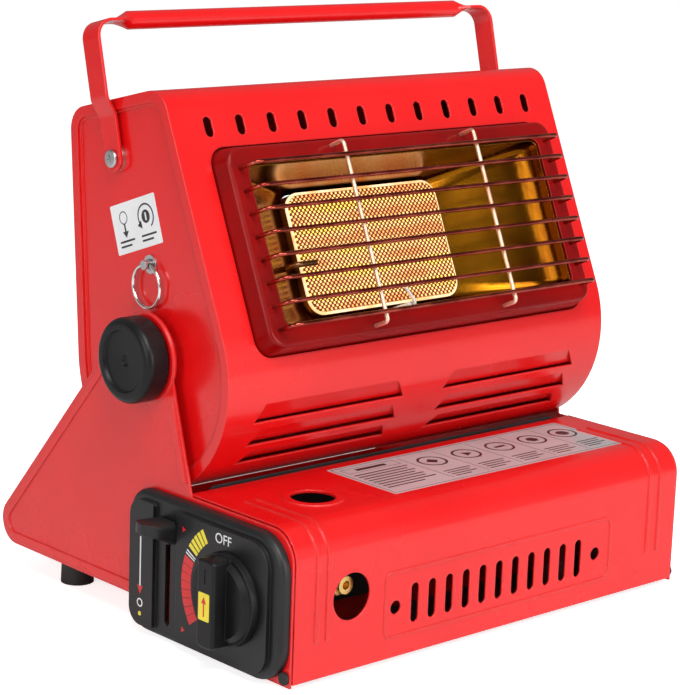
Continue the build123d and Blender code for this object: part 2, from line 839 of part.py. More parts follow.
# ---------------------------------------------------------------- window bezel, reflector, burner
bezel_proud = 10.0        # of the frame's front, before the face
bezel_draft = 3.0         # its sides draw in by this much towards the front
bezel_lip = 6.0           # turned in round the opening
bezel_inner = (208.0, 83.0)
bezel_corner = 5.0
bezel_clearance = 0.6

with BuildPart() as window_bezel:
    with BuildSketch(face_plane(rim_depth)):
        RectangleRounded(
            window_width - bezel_clearance, window_height - bezel_clearance, window_radius - bezel_clearance / 2
        )
    with BuildSketch(face_plane(-bezel_proud)):
        RectangleRounded(
            window_width - 2 * bezel_draft, window_height - 2 * bezel_draft, window_radius - bezel_draft / 2
        )
    loft()
    fillet(window_bezel.faces().sort_by(Axis((0, 0, 0), face_plane(0).z_dir))[-1].edges(), 2.0)
    with BuildSketch(face_plane(rim_depth)):
        RectangleRounded(window_width + 10, window_height + 9, window_radius + 4)
    extrude(amount=-skin)
    # hollow behind
    with BuildSketch(face_plane(rim_depth + skin)):
        RectangleRounded(
            window_width - bezel_clearance - 2 * skin,
            window_height - bezel_clearance - 2 * skin,
            window_radius - bezel_clearance / 2 - skin,
        )
    with BuildSketch(face_plane(-bezel_proud + skin)):
        RectangleRounded(
            window_width - 2 * bezel_draft - 2 * skin,
            window_height - 2 * bezel_draft - 2 * skin,
            window_radius - bezel_draft / 2 - skin,
        )
    loft(mode=Mode.SUBTRACT)
    # opening with its lip
    with BuildSketch(face_plane(-bezel_proud + skin)):
        RectangleRounded(bezel_inner[0] + 2 * skin, bezel_inner[1] + 2 * skin, bezel_corner + skin)
    extrude(amount=-bezel_lip)
    with BuildSketch(face_plane(-bezel_proud)):
        RectangleRounded(*bezel_inner, bezel_corner)
    extrude(amount=-3 * bezel_lip, both=True, mode=Mode.SUBTRACT)

plaque_border = 1.5
burner_width = plaque_width + 2 * plaque_border
burner_height = plaque_height + 2 * plaque_border
burner_front = plaque_depth + 2.0
burner_depth = 18.0
reflector_sheet = 0.8
reflector_front = skin - bezel_proud
tube_depth = 60.0         # axis of the mixing tube, behind the face
tube_radius = 9.0
electrode_x = 6.0         # right of the window's middle
electrode_radius = 3.0
electrode_drop = -burner_height / 2 - electrode_radius - 1.25  # below it
sensor_x = -62.0
sensor_rise = -6.0
sensor_radius = 1.6


def reflector_sections(inset):
    """Rounded rectangles from the window down to the burner, following a parabola."""
    steps = 5
    inner = (burner_width + 2 * (reflector_sheet + gap), burner_height + 2 * (reflector_sheet + gap))
    outer = (bezel_inner[0] - 0.6, bezel_inner[1] - 0.6)
    for i in range(steps + 1):
        share = i / steps
        depth = reflector_front + (burner_front + 4 - reflector_front) * share**0.5
        w = outer[0] + (inner[0] - outer[0]) * share
        h = outer[1] + (inner[1] - outer[1]) * share
        with BuildSketch(face_plane(depth)) as section:
            RectangleRounded(w - 2 * inset, h - 2 * inset, bezel_corner + share * 4 - inset)
        yield section.sketch


with BuildPart() as reflector:
    loft(sections=list(reflector_sections(0)))
    loft(sections=list(reflector_sections(reflector_sheet)), mode=Mode.SUBTRACT)
    with BuildSketch(face_plane(reflector_front)):
        with Locations((electrode_x, electrode_drop)):
            Circle(electrode_radius + fit)
        with Locations((sensor_x, sensor_rise)):
            Circle(sensor_radius + fit)
    extrude(amount=-60, mode=Mode.SUBTRACT)

with BuildPart() as burner_body:
    with BuildSketch(face_plane(burner_front)):
        RectangleRounded(burner_width, burner_height, plaque_corner + plaque_border)
    extrude(amount=-burner_depth)
    with BuildSketch(face_plane(burner_front)):
        RectangleRounded(plaque_width + 1, plaque_height + 1, plaque_corner + 0.5)
    extrude(amount=-12, mode=Mode.SUBTRACT)
    with BuildSketch(face_plane(burner_front + 12)):
        RectangleRounded(plaque_width - 8, plaque_height - 8, 5)
    extrude(amount=-4.5, mode=Mode.SUBTRACT)
    with BuildSketch(face_plane(burner_front + burner_depth)):
        Circle(tube_radius - skin)
    extrude(amount=4, mode=Mode.SUBTRACT)

with BuildPart() as ceramic_plaque:
    with BuildSketch(face_plane(plaque_depth)):
        RectangleRounded(plaque_width, plaque_height, plaque_corner)
    extrude(amount=-plaque_thickness)

with BuildPart() as plaque_frame:
    with BuildSketch(face_plane(burner_front)):
        RectangleRounded(burner_width, burner_height, plaque_corner + plaque_border)
        RectangleRounded(plaque_width + 0.4, plaque_height + 0.4, plaque_corner + 0.2, mode=Mode.SUBTRACT)
    extrude(amount=skin)

# ---------------------------------------------------------------- electrode, flame sensor, mixing tube

with BuildPart() as igniter_electrode:
    with BuildSketch(face_plane(plaque_depth - 10)):
        with Locations((electrode_x, electrode_drop)):
            Circle(electrode_radius)
    extrude(amount=-30)
    with BuildLine(face_section(window_side + electrode_x)) as spark_wire:
        FilletPolyline(
            (plaque_depth - 8, electrode_drop),
            (plaque_depth - 14, electrode_drop),
            (plaque_depth - 8, electrode_drop + 12),
            radius=2,
        )
    with BuildSketch(Plane(origin=spark_wire.line @ 0, z_dir=spark_wire.line % 0)):
        Circle(0.9)
    sweep(path=spark_wire.line)

with BuildPart() as thermocouple:
    sensor_plane = Plane(
        origin=face_point(window_side, window_rise + sensor_rise),
        x_dir=(1, 0, 0),
        z_dir=face_section(0).y_dir,
    )
    with BuildLine(sensor_plane) as sensor_rod:
        FilletPolyline(
            (sensor_x, plaque_depth + 16),
            (sensor_x, plaque_depth - 5),
            (sensor_x + 14, plaque_depth - 5),
            radius=4,
        )
    with BuildSketch(Plane(origin=sensor_rod.line @ 0, z_dir=sensor_rod.line % 0)):
        Circle(sensor_radius)
    sweep(path=sensor_rod.line)

with BuildPart() as mixing_tube:
    with BuildLine(Plane(
        origin=face_point(window_side, window_rise, tube_depth),
        x_dir=(1, 0, 0),
        z_dir=face_section(0).y_dir,
    )) as tube_line:
        FilletPolyline(
            (hose_x + 12, 0),
            (0, 0),
            (0, burner_front + burner_depth - tube_depth),
            radius=tube_radius + 1,
        )
    with BuildSketch(Plane(origin=tube_line.line @ 0, z_dir=tube_line.line % 0)):
        Circle(tube_radius)
        Circle(tube_radius - skin, mode=Mode.SUBTRACT)
    sweep(path=tube_line.line)

# ---------------------------------------------------------------- guard
wire_r = guard_wire / 2
guard_low = -42.45
stay_x = 46.5             # upright wires
stay_rise = 47.5          # their ends, above and below the window's middle
stay_proud = guard_proud - guard_wire - 0.02   # welded behind the long wires
bend = 5.0

with BuildPart() as guard:
    for i in range(guard_count):
        level = Plane(
            origin=face_point(window_side, window_rise + guard_low + i * guard_pitch),
            x_dir=(1, 0, 0),
            z_dir=-face_section(0).y_dir,
        )
        with BuildLine(level) as path:
            FilletPolyline(
                (-guard_width / 2, bezel_proud),
                (-guard_width / 2, guard_proud),
                (guard_width / 2, guard_proud),
                (guard_width / 2, bezel_proud),
                radius=bend,
            )
        with BuildSketch(Plane(origin=path.line @ 0, z_dir=path.line % 0)):
            Circle(wire_r)
        sweep(path=path.line)

with BuildPart() as guard_stays:
    for x in (-stay_x, stay_x):
        with BuildLine(face_section(window_side + x)) as path:
            FilletPolyline(
                (-bezel_proud, -stay_rise),
                (-stay_proud, -stay_rise),
                (-stay_proud, stay_rise),
                (-bezel_proud, stay_rise),
                radius=2.4,
            )
        with BuildSketch(Plane(origin=path.line @ 0, z_dir=path.line % 0)):
            Circle(wire_r)
        sweep(path=path.line)

# ---------------------------------------------------------------- handle
flat_x = half_head + gap
outer_x = handle_reach - arm_sheet

with BuildPart() as handle:
    with BuildSketch(head_facing(arm_rear - arm_width / 2)):
        with BuildLine():
            bent_strip(
                [
                    (flat_x, arm_rise - arm_foot),
                    (flat_x, arm_rise + 22),
                    (outer_x, arm_rise + 30),
                    (outer_x, handle_rise - arm_sheet / 2),
                    (handle_grip_length / 2 + 8, handle_rise - arm_sheet / 2),
                ],
                radius=(6, 6, 8),
                thickness=arm_sheet,
                side=Side.RIGHT,
            )
        make_face()
    extrude(amount=-arm_width)
    # rounded lower end
    with BuildSketch(head_side(flat_x - 1)):
        with Locations((arm_rear, arm_rise)):
            Rectangle(40, 40, align=(Align.CENTER, Align.MAX))
            Circle(arm_foot - 2, mode=Mode.SUBTRACT)
            Rectangle(2 * (arm_foot - 2), 1.0, mode=Mode.SUBTRACT)
    extrude(amount=4, mode=Mode.SUBTRACT)
    with BuildSketch(head_side(flat_x - 1)):
        with Locations((arm_rear, arm_rise)):
            Circle(2.0 + fit)
    extrude(amount=4, mode=Mode.SUBTRACT)
    # the strip rolls into a tube
    with BuildSketch(head_side(handle_grip_length / 2 + 8)) as strip_end:
        with Locations((arm_rear, handle_rise)):
            Rectangle(arm_width, arm_sheet)
    with BuildSketch(head_side(handle_grip_length / 2)) as tube_end:
        with Locations((arm_rear, handle_rise)):
            Ellipse(handle_grip_radius, handle_grip_radius)
    loft()
    mirror(about=mid_plane)
    with BuildSketch(head_side(-handle_grip_length / 2)):
        with Locations((arm_rear, handle_rise)):
            Circle(handle_grip_radius)
    extrude(amount=handle_grip_length)

with BuildPart() as handle_spacers:
    with BuildSketch(head_side(panel_outer)):
        with Locations((arm_rear, arm_rise)):
            Circle(6.5)
            Circle(2.0, mode=Mode.SUBTRACT)
    extrude(amount=half_head - panel_outer)
    mirror(about=mid_plane)

screw_head = 1.6

with BuildPart() as handle_screws:
    with BuildSketch(head_side(panel_outer - 6)):
        with Locations((arm_rear, arm_rise)):
            Circle(2.0)
    extrude(amount=flat_x + arm_sheet + gap - panel_outer + 6)
    with BuildSketch(head_side(flat_x + arm_sheet + gap)):
        with Locations((arm_rear, arm_rise)):
            Circle(4.6)
    extrude(amount=screw_head)
    fillet(handle_screws.faces().sort_by(Axis.X)[-1].edges(), 0.9)
    with BuildSketch(head_side(flat_x + arm_sheet + gap + screw_head)):
        with Locations((arm_rear, arm_rise)):
            Rectangle(4.6, 0.9)
            Rectangle(0.9, 4.6)
    extrude(amount=-1.0, mode=Mode.SUBTRACT)
    mirror(about=mid_plane)

# ---------------------------------------------------------------- tilt hardware
flange_thickness = 1.6
flange_x = panel_outer - skin - gap
quadrant_radius = 50.5
barrel_end = panel_outer - skin
barrel_start = barrel_end - barrel_length
quadrant_x = barrel_start - quadrant_clearance
sleeve_start = quadrant_x - flange_thickness
sector_first = -18.0      # its two edges, back from upright
sector_last = 92.0


def pivot_sleeve(side):
    """Flanged sleeve: its flange lies behind the side panel and its end butts the ear."""
    with BuildPart() as sleeve:
        with BuildSketch(side_plane(side * (flange_x - flange_thickness))):
            with Locations((pivot_depth, pivot_height)):
                Circle(flange_radius)
        extrude(amount=side * flange_thickness)
        with BuildSketch(side_plane(side * sleeve_start)):
            with Locations((pivot_depth, pivot_height)):
                Circle(sleeve_radius)
        extrude(amount=side * (inner_case - sleeve_start))
        with BuildSketch(side_plane(side * sleeve_start)):
            with Locations((pivot_depth, pivot_height)):
                Circle(bolt_radius)
        extrude(amount=side * (inner_case - sleeve_start), mode=Mode.SUBTRACT)
    return sleeve.part


detent_radius = hypot(pin_rear, pin_rise)
pin_angle = degrees(atan2(pin_rear, pin_rise))
left_sleeve = pivot_sleeve(-1)

with BuildPart() as tilt_quadrant:
    with BuildSketch(side_plane(-sleeve_start)):
        with Locations((pivot_depth, pivot_height)):
            Circle(flange_radius)
            with BuildLine():
                rim = CenterArc(
                    (pivot_depth, pivot_height), quadrant_radius, 90 - sector_last, sector_last - sector_first
                )
                Polyline(rim @ 1, (pivot_depth, pivot_height), rim @ 0)
            make_face()
    extrude(amount=-flange_thickness)
    with BuildSketch(side_plane(-quadrant_x)):
        for step in tilt_steps:
            angle = radians(step + pin_angle)
            with Locations((
                pivot_depth + detent_radius * sin(angle), pivot_height + detent_radius * cos(angle)
            )):
                Circle(pin_radius + fit)
    extrude(amount=10, both=True, mode=Mode.SUBTRACT)
    add(left_sleeve)
    with BuildSketch(side_plane(-quadrant_x)):
        with Locations((pivot_depth, pivot_height)):
            Circle(bolt_radius)
    extrude(amount=2 * flange_thickness, both=True, mode=Mode.SUBTRACT)

pivot_flange = pivot_sleeve(1)

with BuildPart() as tilt_bolts:
    with BuildSketch(side_plane(sleeve_start - 3)):
        with Locations((pivot_depth, pivot_height)):
            RegularPolygon(5.6, 6)
    extrude(amount=3)
    with BuildSketch(side_plane(sleeve_start)):
        with Locations((pivot_depth, pivot_height)):
            Circle(bolt_radius)
    extrude(amount=half_case + 7.5 - sleeve_start)
    mirror(about=mid_plane)


def tilt_knob(side):
    """Round hand knob with a dished face and a small centre dimple."""
    base = half_case + 0.8 + gap
    axis_point = (mid_x, case_front + pivot_depth, foot_drop + pivot_height)
    with BuildPart() as knob:
        with BuildSketch(Plane(origin=axis_point, x_dir=(1, 0, 0), z_dir=(0, -1, 0))) as half:
            with BuildLine():
                Polyline(
                    (base, bolt_radius + fit),
                    (base, tilt_knob_radius - 1.6),
                    (base + 1.6, tilt_knob_radius),
                    (tilt_knob_face, tilt_knob_radius),
                    (tilt_knob_face, tilt_knob_radius - 5.6),
                    (tilt_knob_face - 1.6, tilt_knob_radius - 6.6),
                    (tilt_knob_face - 2.2, 3.0),
                    (tilt_knob_face - 3.2, 2.2),
                    (tilt_knob_face - 3.2, 0),
                    (half_case + 8, 0),
                    (half_case + 8, bolt_radius + fit),
                    close=True,
                )
            make_face()
            corners = half.vertices().sort_by(lambda v: v.X + v.Y)
            fillet(corners[-1], 3.6)
        revolve(axis=Axis(axis_point, (1, 0, 0)))
        if side < 0:
            mirror(about=mid_plane, mode=Mode.REPLACE)
    return knob.part


tilt_knob_left = tilt_knob(-1)
tilt_knob_right = tilt_knob(1)

# ---------------------------------------------------------------- pull pin, spring, ring
barrel_radius = 6.4
barrel_bore = 5.2
barrel_wall = 1.2
washer_thickness = 1.0
collar_x = barrel_start + 3.0
collar_thickness = 1.2
pin_tip = quadrant_x + 0.15   # at rest between two holes, just off the quadrant
eye_x = panel_outer + 2.8
coil_wire = 0.4
coil_gap = 0.45

pin_middle = head.from_local_coords((-eye_x, pin_rear, pin_rise))


def pin_axis_plane(x):
    """Plane across the pull pin's axis at x left of the middle."""
    return Plane(
        origin=head.from_local_coords((-x, pin_rear, pin_rise)), x_dir=head.y_dir, z_dir=-head.x_dir
    )


with BuildPart() as pin_housing:
    with BuildSketch(pin_axis_plane(barrel_start)):
        Circle(barrel_radius)
    extrude(amount=barrel_end - barrel_start)
    with BuildSketch(pin_axis_plane(barrel_start + barrel_wall)):
        Circle(barrel_bore)
    extrude(amount=barrel_end - barrel_start - 2 * barrel_wall, mode=Mode.SUBTRACT)
    with BuildSketch(pin_axis_plane(barrel_end)):
        Circle(bushing_radius)
    extrude(amount=panel_outer - barrel_end)
    with BuildSketch(pin_axis_plane(panel_outer)):
        Circle(bushing_radius + 0.8)
    extrude(amount=washer_thickness)
    with BuildSketch(pin_axis_plane(barrel_start)):
        Circle(pin_radius + fit)
    extrude(amount=panel_outer - barrel_start + 2 * washer_thickness, mode=Mode.SUBTRACT)

with BuildPart() as pull_pin:
    with BuildSketch(pin_axis_plane(pin_tip)):
        Circle(pin_radius)
    extrude(amount=eye_x + 2.4 - pin_tip)
    chamfer(pull_pin.faces().sort_by(Axis.X)[-1].edges(), 0.4)
    with BuildSketch(pin_axis_plane(collar_x)):
        Circle(barrel_bore - 0.4)
    extrude(amount=collar_thickness)
    with BuildSketch(Plane(origin=pin_middle, x_dir=(1, 0, 0), z_dir=(0, 1, 0))):
        Circle(ring_wire + 2 * fit)
    extrude(amount=10, both=True, mode=Mode.SUBTRACT)

spring_length = barrel_end - barrel_wall - collar_x - collar_thickness - 2 * (coil_wire + coil_gap)
with BuildPart() as pin_spring:
    with BuildLine() as coil:
        Helix(
            pitch=spring_length / 4,
            height=spring_length,
            radius=4.1,
            center=pin_axis_plane(collar_x + collar_thickness + coil_wire + coil_gap).origin,
            direction=(-1, 0, 0),
        )
    with BuildSketch(Plane(origin=coil.line @ 0, z_dir=coil.line % 0)):
        Circle(coil_wire)
    sweep(path=coil.line)

with BuildPart() as pull_ring:
    with BuildSketch(Plane(origin=pin_middle - Vector(0, 0, ring_radius), x_dir=(0, 0, 1), z_dir=(0, 1, 0))):
        with Locations((ring_radius, 0)):
            Circle(ring_wire)
    revolve(axis=Axis(pin_middle - Vector(0, 0, ring_radius), (1, 0, 0)))

# ---------------------------------------------------------------- gas line
hose_start = cartridge_depth + 26.5
entry_angle = 11.0        # below level, on the nose circle, in the head's own frame
entry = Plane(
    origin=head.from_local_coords((hose_x, nose_rear, nose_v)),
    x_dir=(1, 0, 0),
    z_dir=head.y_dir * cos(radians(entry_angle)) - head.z_dir * sin(radians(entry_angle)),
)


def in_case(point):
    """Depth and height in the case's frame of a point in space."""
    local = side_plane(0).to_local_coords(point)
    return (local.X, local.Y)


entry_point = in_case(entry.from_local_coords((0, 0, nose_radius)))
entry_out = in_case(entry.from_local_coords((0, 0, nose_radius + 18)))

with BuildPart() as gas_hose:
    with BuildLine(side_plane(hose_x)) as hose_path:
        FilletPolyline(
            (hose_start, hose_exit_height),
            (hose_start + 50, hose_exit_height),
            (hose_start + 96, hose_exit_height + 6),
            (entry_out[0] - 2, hose_exit_height + 34),
            entry_out,
            in_case(entry.from_local_coords((0, 0, nose_radius + 1.0))),
            radius=(40, 30, 14, 7),
        )
    with BuildSketch(Plane(origin=hose_path.line @ 0, z_dir=hose_path.line % 0)):
        Circle(hose_radius)
        Circle(3.2, mode=Mode.SUBTRACT)
    sweep(path=hose_path.line)

with BuildPart() as hose_coupling:
    with BuildSketch(entry.offset(nose_radius - 7)):
        Circle(hose_radius + 2.6)
    extrude(amount=6)
    with BuildSketch(entry.offset(nose_radius - 1)):
        Circle(3.1)
    extrude(amount=8)

with BuildPart() as injector:
    with BuildSketch(face_section(hose_x - 7)):
        with Locations((tube_depth, 0)):
            Circle(6.5)
    extrude(amount=14)
    with BuildSketch(face_section(hose_x + 7)):
        with Locations((tube_depth, 0)):
            Circle(3.4)
    extrude(amount=10)
    with BuildSketch(Plane(origin=face_point(hose_x, window_rise, tube_depth), z_dir=-face_section(0).y_dir)):
        Circle(3.6)
    extrude(amount=9)


def on_face_section(point):
    """Depth behind the front face and rise above the window's middle of a point in space."""
    local = face_section(hose_x).to_local_coords(point)
    return (local.X, local.Y)


with BuildPart() as gas_tube:
    with BuildLine(face_section(hose_x)) as tube_path:
        FilletPolyline(
            on_face_section(entry.from_local_coords((0, 0, nose_radius - 7))),
            on_face_section(entry.from_local_coords((0, 0, nose_radius - 30))),
            (tube_depth, -26),
            (tube_depth, -9),
            radius=(12, 9),
        )
    with BuildSketch(Plane(origin=tube_path.line @ 0, z_dir=tube_path.line % 0)):
        Circle(2.6)
    sweep(path=tube_path.line)

# ---------------------------------------------------------------- write one file for each piece
pieces = {
    "base_tray": base_tray.part,
    "side_frame_left": side_frame_left,
    "side_frame_right": side_frame_right,
    "bay_wall": bay_wall.part,
    "control_panel": control_panel.part,
    "regulator": regulator.part,
    "gas_valve": gas_valve.part,
    "brass_nipple": brass_nipple.part,
    "front_feet": front_feet.part,
    "rear_feet": rear_feet.part,
    "hinge_pins": hinge_pins.part,
    "cartridge_lid": cartridge_lid.part,
    "gas_knob": gas_knob.part,
    "valve_spindle": valve_spindle.part,
    "lock_lever": lock_lever.part,
    "cartridge_clamp": cartridge_clamp.part,
    "head_shell": head_shell.part,
    "side_panel_left": side_panel_left,
    "side_panel_right": side_panel_right,
    "rear_cover": rear_cover.part,
    "cover_screws": cover_screws.part,
    "window_bezel": window_bezel.part,
    "reflector": reflector.part,
    "burner_body": burner_body.part,
    "ceramic_plaque": ceramic_plaque.part,
    "plaque_frame": plaque_frame.part,
    "igniter_electrode": igniter_electrode.part,
    "thermocouple": thermocouple.part,
    "guard": guard.part,
    "guard_stays": guard_stays.part,
    "handle": handle.part,
    "handle_spacers": handle_spacers.part,
    "handle_screws": handle_screws.part,
    "tilt_quadrant": tilt_quadrant.part,
    "pivot_flange": pivot_flange,
    "tilt_bolts": tilt_bolts.part,
    "tilt_knob_left": tilt_knob_left,
    "tilt_knob_right": tilt_knob_right,
    "pin_housing": pin_housing.part,
    "pull_pin": pull_pin.part,
    "pin_spring": pin_spring.part,
    "pull_ring": pull_ring.part,
    "gas_hose": gas_hose.part,
    "hose_coupling": hose_coupling.part,
    "injector": injector.part,
    "gas_tube": gas_tube.part,
    "mixing_tube": mixing_tube.part,
}
for name, piece in pieces.items():
    piece.label = name
    export_step(piece, f"parts/{name}.step")
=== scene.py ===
import json
import math

import bmesh
import bpy
from mathutils import Matrix, Vector


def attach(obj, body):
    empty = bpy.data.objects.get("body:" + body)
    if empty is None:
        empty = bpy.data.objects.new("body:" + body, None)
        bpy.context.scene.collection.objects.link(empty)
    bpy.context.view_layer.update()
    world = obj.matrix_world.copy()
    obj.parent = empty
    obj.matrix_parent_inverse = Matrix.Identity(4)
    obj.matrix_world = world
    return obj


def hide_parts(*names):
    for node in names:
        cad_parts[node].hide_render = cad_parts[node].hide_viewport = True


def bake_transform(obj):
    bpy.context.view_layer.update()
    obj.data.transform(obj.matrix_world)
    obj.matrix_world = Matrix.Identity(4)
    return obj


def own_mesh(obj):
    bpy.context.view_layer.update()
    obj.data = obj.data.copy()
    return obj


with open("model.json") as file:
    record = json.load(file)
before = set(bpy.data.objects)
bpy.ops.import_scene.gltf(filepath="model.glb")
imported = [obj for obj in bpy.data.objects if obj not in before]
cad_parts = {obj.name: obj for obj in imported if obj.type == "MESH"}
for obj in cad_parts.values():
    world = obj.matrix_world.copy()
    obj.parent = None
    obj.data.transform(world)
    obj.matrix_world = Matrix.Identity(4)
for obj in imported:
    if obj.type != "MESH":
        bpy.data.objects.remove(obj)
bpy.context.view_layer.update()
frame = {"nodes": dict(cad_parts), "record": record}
nodes = frame["nodes"]
print("frame loaded:", len(nodes), "nodes")

# the heater's own planes, as in the CAD part (metres, degrees)
heater = {
    "middleX": 0.0037,
    "caseFront": -0.1215,
    "footDrop": 0.002,
    "pivot": (0.1165, 0.140),
    "headLean": 14.0,
    "flankLean": 9.8,
    "noseRadius": 0.0615,
    "noseCentre": (0.004, -0.006),
    "windowSide": 0.002,
    "windowRise": 0.04185,
}


def casePoint(x, y, z):
    return Vector((heater["middleX"] + x, heater["caseFront"] + y, heater["footDrop"] + z))


def headPoint(x, rear, up):
    lean = math.radians(heater["headLean"])
    depth = heater["pivot"][0] + rear * math.cos(lean) + up * math.sin(lean)
    height = heater["pivot"][1] - rear * math.sin(lean) + up * math.cos(lean)
    return casePoint(x, depth, height)


def facePoint(x, rise, depth=0.0):
    lean = math.radians(heater["flankLean"])
    rear, up = heater["noseCentre"]
    rear += -heater["noseRadius"] * math.cos(lean) + rise * math.sin(lean) + depth * math.cos(lean)
    up += heater["noseRadius"] * math.sin(lean) + rise * math.cos(lean) - depth * math.sin(lean)
    return headPoint(x, rear, up)


faceLean = math.radians(heater["headLean"] + heater["flankLean"])


# node trees


def addNode(tree, kind, inputs=None, **settings):
    node = tree.nodes.new(kind)
    for name, value in settings.items():
        setattr(node, name, value)
    for name, value in (inputs or {}).items():
        if isinstance(value, bpy.types.NodeSocket):
            tree.links.new(value, node.inputs[name])
        else:
            node.inputs[name].default_value = value
    return node


def ramp(tree, value, stops, smooth="LINEAR"):
    node = addNode(tree, "ShaderNodeValToRGB", {"Fac": value})
    node.color_ramp.interpolation = smooth
    while len(node.color_ramp.elements) < len(stops):
        node.color_ramp.elements.new(0.5)
    for element, (place, colour) in zip(node.color_ramp.elements, stops):
        element.position = place
        element.color = (*colour, 1) if len(colour) == 3 else colour
    return node.outputs["Color"]


def mixColour(tree, factor, first, second, blend="MIX"):
    node = addNode(tree, "ShaderNodeMix", data_type="RGBA", blend_type=blend)
    for socket, value in (("Factor", factor), ("A", first), ("B", second)):
        place = next(s for s in node.inputs if s.name == socket and (socket == "Factor" or s.type == "RGBA"))
        if isinstance(value, bpy.types.NodeSocket):
            tree.links.new(value, place)
        else:
            place.default_value = value if socket == "Factor" else (*value[:3], 1)
    return next(s for s in node.outputs if s.type == "RGBA")


def maths(tree, operation, first, second=0.0, third=0.0):
    node = addNode(tree, "ShaderNodeMath", operation=operation)
    for place, value in enumerate((first, second, third)):
        if isinstance(value, bpy.types.NodeSocket):
            tree.links.new(value, node.inputs[place])
        else:
            node.inputs[place].default_value = value
    return node.outputs[0]


def newGroup(name, inputs, outputs):
    group = bpy.data.node_groups.new(name, "ShaderNodeTree")
    for label, kind, value in inputs:
        socket = group.interface.new_socket(label, in_out="INPUT", socket_type=kind)
        if value is not None:
            socket.default_value = value
    for label, kind in outputs:
        group.interface.new_socket(label, in_out="OUTPUT", socket_type=kind)
    return group, group.nodes.new("NodeGroupInput"), group.nodes.new("NodeGroupOutput")


def makeEdgeWear():
    # rounded normal at sharp edges, and a broken-up mask along them
    group, inside, outside = newGroup(
        "edgeWear",
        [
            ("Radius", "NodeSocketFloat", 0.0006),
            ("Amount", "NodeSocketFloat", 0.5),
            ("Scale", "NodeSocketFloat", 90.0),
        ],
        [("Mask", "NodeSocketFloat"), ("Normal", "NodeSocketVector")],
    )
    bevel = addNode(group, "ShaderNodeBevel", {"Radius": inside.outputs["Radius"]}, samples=4)
    geometry = addNode(group, "ShaderNodeNewGeometry")
    turn = addNode(
        group,
        "ShaderNodeVectorMath",
        {0: bevel.outputs[0], 1: geometry.outputs["Normal"]},
        operation="DOT_PRODUCT",
    )
    corner = maths(group, "SUBTRACT", 1.0, turn.outputs["Value"])
    place = addNode(group, "ShaderNodeTexCoord")
    noise = addNode(
        group,
        "ShaderNodeTexNoise",
        {"Vector": place.outputs["Object"], "Scale": inside.outputs["Scale"], "Detail": 6.0},
    )
    broken = maths(group, "MULTIPLY", corner, maths(group, "MULTIPLY", noise.outputs["Fac"], 9.0))
    shown = maths(group, "SMOOTH_MIN", maths(group, "MULTIPLY", broken, inside.outputs["Amount"]), 1.0, 0.1)
    group.links.new(shown, outside.inputs["Mask"])
    group.links.new(bevel.outputs[0], outside.inputs["Normal"])
    return group


def makeSurfaceGrain():
    # two scales of noise: a height for the bump, and slow patches for colour and gloss
    group, inside, outside = newGroup(
        "surfaceGrain",
        [("Fine Scale", "NodeSocketFloat", 900.0), ("Patch Scale", "NodeSocketFloat", 14.0)],
        [("Height", "NodeSocketFloat"), ("Patches", "NodeSocketFloat")],
    )
    place = addNode(group, "ShaderNodeTexCoord")
    fine = addNode(
        group,
        "ShaderNodeTexNoise",
        {"Vector": place.outputs["Object"], "Scale": inside.outputs["Fine Scale"], "Detail": 3.0},
    )
    patches = addNode(
        group,
        "ShaderNodeTexNoise",
        {"Vector": place.outputs["Object"], "Scale": inside.outputs["Patch Scale"], "Detail": 5.0},
    )
    group.links.new(fine.outputs["Fac"], outside.inputs["Height"])
    group.links.new(patches.outputs["Fac"], outside.inputs["Patches"])
    return group


def makeDust():
    # settles on faces that look up
    group, inside, outside = newGroup(
        "settledDust",
        [("Amount", "NodeSocketFloat", 0.2)],
        [("Mask", "NodeSocketFloat")],
    )
    geometry = addNode(group, "ShaderNodeNewGeometry")
    split = addNode(group, "ShaderNodeSeparateXYZ", {0: geometry.outputs["Normal"]})
    place = addNode(group, "ShaderNodeTexCoord")
    noise = addNode(
        group, "ShaderNodeTexNoise", {"Vector": place.outputs["Object"], "Scale": 60.0, "Detail": 8.0}
    )
    upward = maths(group, "MAXIMUM", split.outputs["Z"], 0.0)
    spread = maths(group, "MULTIPLY", upward, noise.outputs["Fac"])
    mask = maths(group, "MULTIPLY", spread, inside.outputs["Amount"])
    group.links.new(mask, outside.inputs["Mask"])
    return group


edgeWear = makeEdgeWear()
surfaceGrain = makeSurfaceGrain()
settledDust = makeDust()
dustColour = (0.55, 0.52, 0.48)


def useGroup(tree, group, **inputs):
    node = addNode(tree, "ShaderNodeGroup", node_tree=group)
    for name, value in inputs.items():
        node.inputs[name].default_value = value
    return node


def useGrain(tree, fineScale, patchScale):
    return useGroup(tree, surfaceGrain, **{"Fine Scale": fineScale, "Patch Scale": patchScale})


def startMaterial(name):
    material = bpy.data.materials.new(name)
    material.use_nodes = True
    tree = material.node_tree
    return material, tree, tree.nodes["Principled BSDF"]


